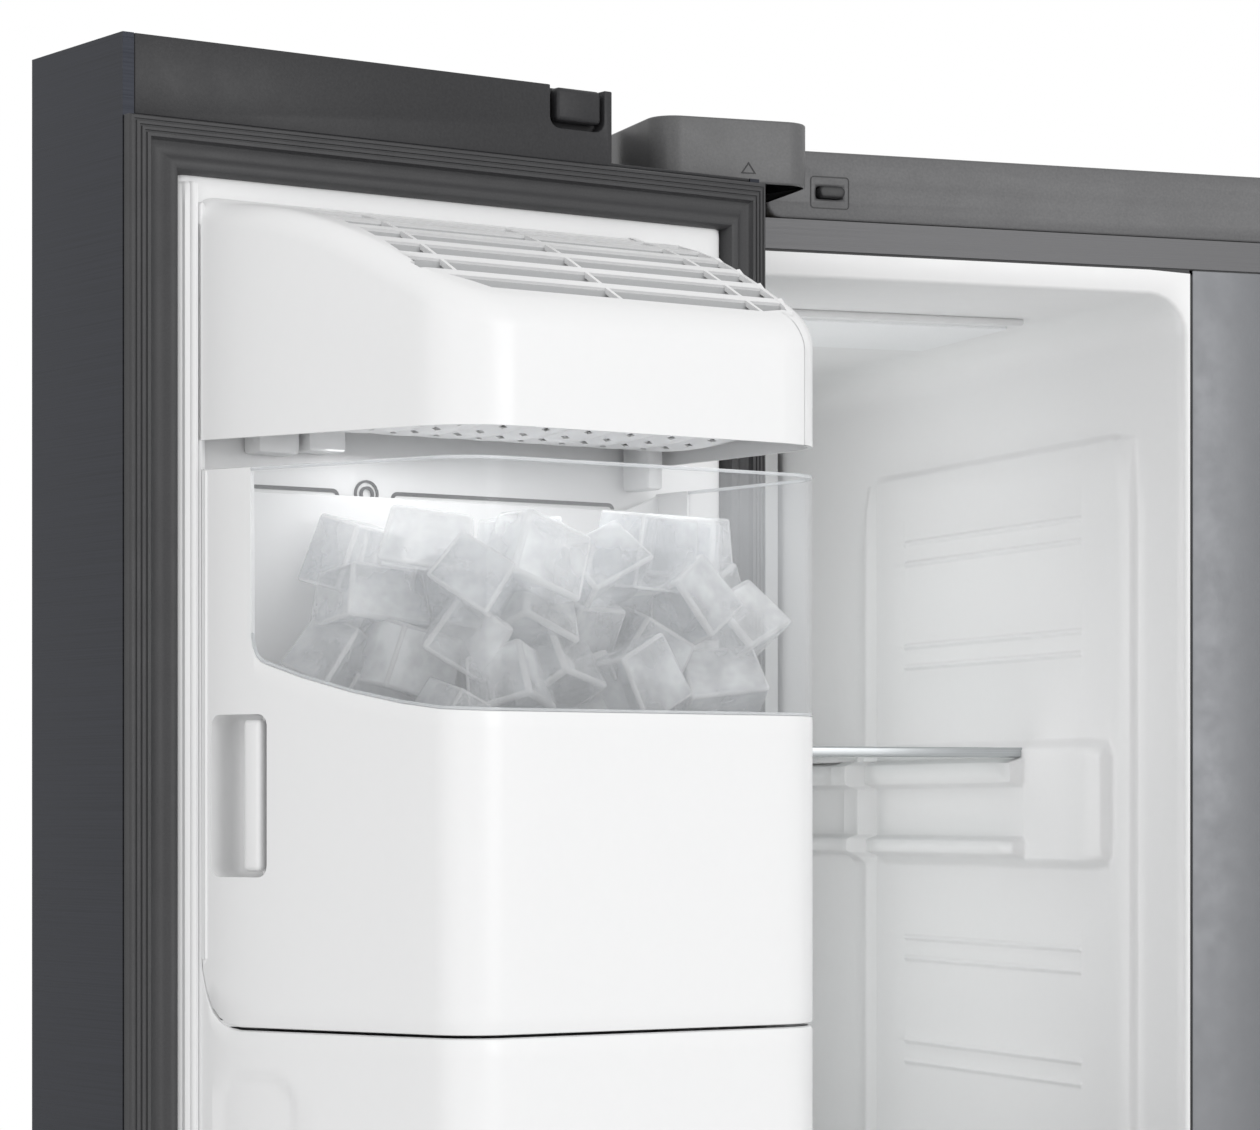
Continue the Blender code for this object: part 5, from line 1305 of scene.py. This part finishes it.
def floor():
    shape = bmesh.new()
    bmesh.ops.create_grid(shape, x_segments=8, y_segments=8, size=14)
    put("floor", shape, FLOOR_PAINT)


def area_light(name, place, target, size, power):
    light = bpy.data.lights.new(name, "AREA")
    light.shape = "RECTANGLE"
    light.size, light.size_y = size
    light.energy = power
    obj = link(name, light)
    obj.location = place
    obj.rotation_euler = (target - place).to_track_quat("-Z", "Y").to_euler()
    obj.visible_camera = False


def studio_world():
    """A white studio: the backdrop is pure white, and what it sheds on the object is a little dimmer."""
    recipe = Recipe(bpy.data.worlds.new("studio"))
    shed = recipe.fill(recipe.nodes["Background"], {"Strength": WORLD_LIGHT, "Color": PURE_WHITE})
    backdrop = recipe.node("Background", {"Strength": 1.0, "Color": PURE_WHITE})
    seen = recipe.node("LightPath")["Is Camera Ray"]
    mixed = recipe.node("MixShader", {"Fac": seen, 1: shed["Background"], 2: backdrop["Background"]})
    bpy.context.scene.world = recipe.finish({"Surface": mixed["Shader"]}, "World Output")


def lights():
    """Two large soft lights in the room, and the appliance's own glow in its compartments and bucket."""
    target = cabinet(-0.45, -0.2, 1.4)
    area_light("key", cabinet(0.9, -3.4, 2.3), target, (1.8, 1.8), 36)
    area_light("fill", cabinet(-2.6, -2.2, 1.8), target, (2.4, 2.4), 12)
    area_light("freezer_glow", cabinet(-0.395, 0.3, 1.42), cabinet(-0.08, 0.3, 1.42), (0.3, 0.5), 0.9)
    area_light("bucket_glow", freezer_door(0.19, 0.085, 1.5785), freezer_door(0.19, 0.085, 1.4),
               (0.2, 0.1), 0.145)
    area_light("fridge_glow", cabinet(0.195, 0.16, 1.69), cabinet(0.195, 0.3, 1.1), (0.25, 0.1), 1.6)


def camera():
    """Stands left of the doors, 1.4 m up, and looks level, with the frame shifted to the object's top."""
    data = bpy.data.cameras.new("camera")
    data.sensor_width = 36
    data.lens = 117.35
    data.shift_x = 0.0478
    data.shift_y = 0.1953
    obj = link("camera", data)
    obj.location = cabinet(-1.2525, -2.1971, 1.397)
    obj.rotation_euler = (math.radians(90), 0, math.radians(-19.63))
    bpy.context.scene.camera = obj


# The whole model.

cad_finish(STEEL, "freezer_door_skin", "fridge_door_skin")
cad_finish(CASE_STEEL, "outer_case")
cad_finish(RAIL_STEEL, "front_rail")
top_parts()
back_sheet()
back_screws()
dispenser_keys()

ice_hood()
ice_hood_slats()
ice_hood_painted_shade_sheet()
bucket()
bucket_window()
bulge()
fluted_edge()
door_pan("freezer_door", freezer_door, FREEZER_DOOR_WIDTH)
ice_heap()
ice_maker_underside()

for shelf_node in ("freezer_shelf_upper", "freezer_shelf_middle", "freezer_shelf_lower", "fridge_shelf_upper",
                   "fridge_shelf_middle", "crisper_cover"):
    shelf(shelf_node)
for drawer_node in ("freezer_drawer_lower", "freezer_drawer_upper", "crisper_lower", "crisper_upper"):
    drawer(drawer_node)
for level in ("lower", "upper"):
    door_bin("freezer_door_bin_" + level, freezer_door)
for level in ("lower", "middle", "upper"):
    door_bin("fridge_door_bin_" + level, fridge_door)
drawer_ledges("freezer", *FREEZER_ROOM)
drawer_ledges("fridge", *FRIDGE_ROOM)
dykes("freezer_door", freezer_door, 0.045, 0.333, 0.906)
dykes("fridge_door", fridge_door, 0.066, 0.45, 1.65)
door_pan("fridge_door", fridge_door, FRIDGE_DOOR_WIDTH)

rounded_cad("dispenser_housing", 0.001, BLACK_PLASTIC_AND_PAINTED_SHADE, slot="dark_grey_plastic")
rounded_cad("dispenser_panel", 0.0012, BLACK_GLASS, 3)
rounded_cad("dispenser_paddle", 0.0009, BLACK_PLASTIC_AND_PAINTED_SHADE, slot="dark_grey_plastic")
rounded_cad("compressor", 0.002, ENAMEL)
rounded_cad("freezer_duct_cover", 0.0008, WHITE_LINER)
rounded_cad("ice_tray", 0.0006, BLACK_PLASTIC_AND_PAINTED_SHADE)
rounded_cad("ice_maker", 0.0012, WHITE)
cad_finish(BLACK_PLASTIC_AND_PAINTED_SHADE, "toe_grille", "condenser_fan", "rear_roller_left", "rear_roller_right",
           "leveling_leg_left", "leveling_leg_right")
cad_finish(ZINC, "rear_cover", "base_frame", "top_hinge_left", "top_hinge_right", "bottom_hinge_left",
           "bottom_hinge_right", "ice_auger")
cad_finish(FOAM, "insulation_foam", "freezer_door_foam", "fridge_door_foam")

behind_bucket()
mullion()
tub("freezer", *FREEZER_ROOM, -0.4274, -0.0735, (1.438, 1.02, 0.61))
tub("fridge", *FRIDGE_ROOM, -0.0235, 0.4274, (1.34, 0.97))
ceiling_light("freezer", -0.33, -0.115)
ceiling_light("fridge", 0.09, 0.3)

floor()
studio_world()
lights()
camera()
bpy.context.scene.view_settings.view_transform = "Standard"
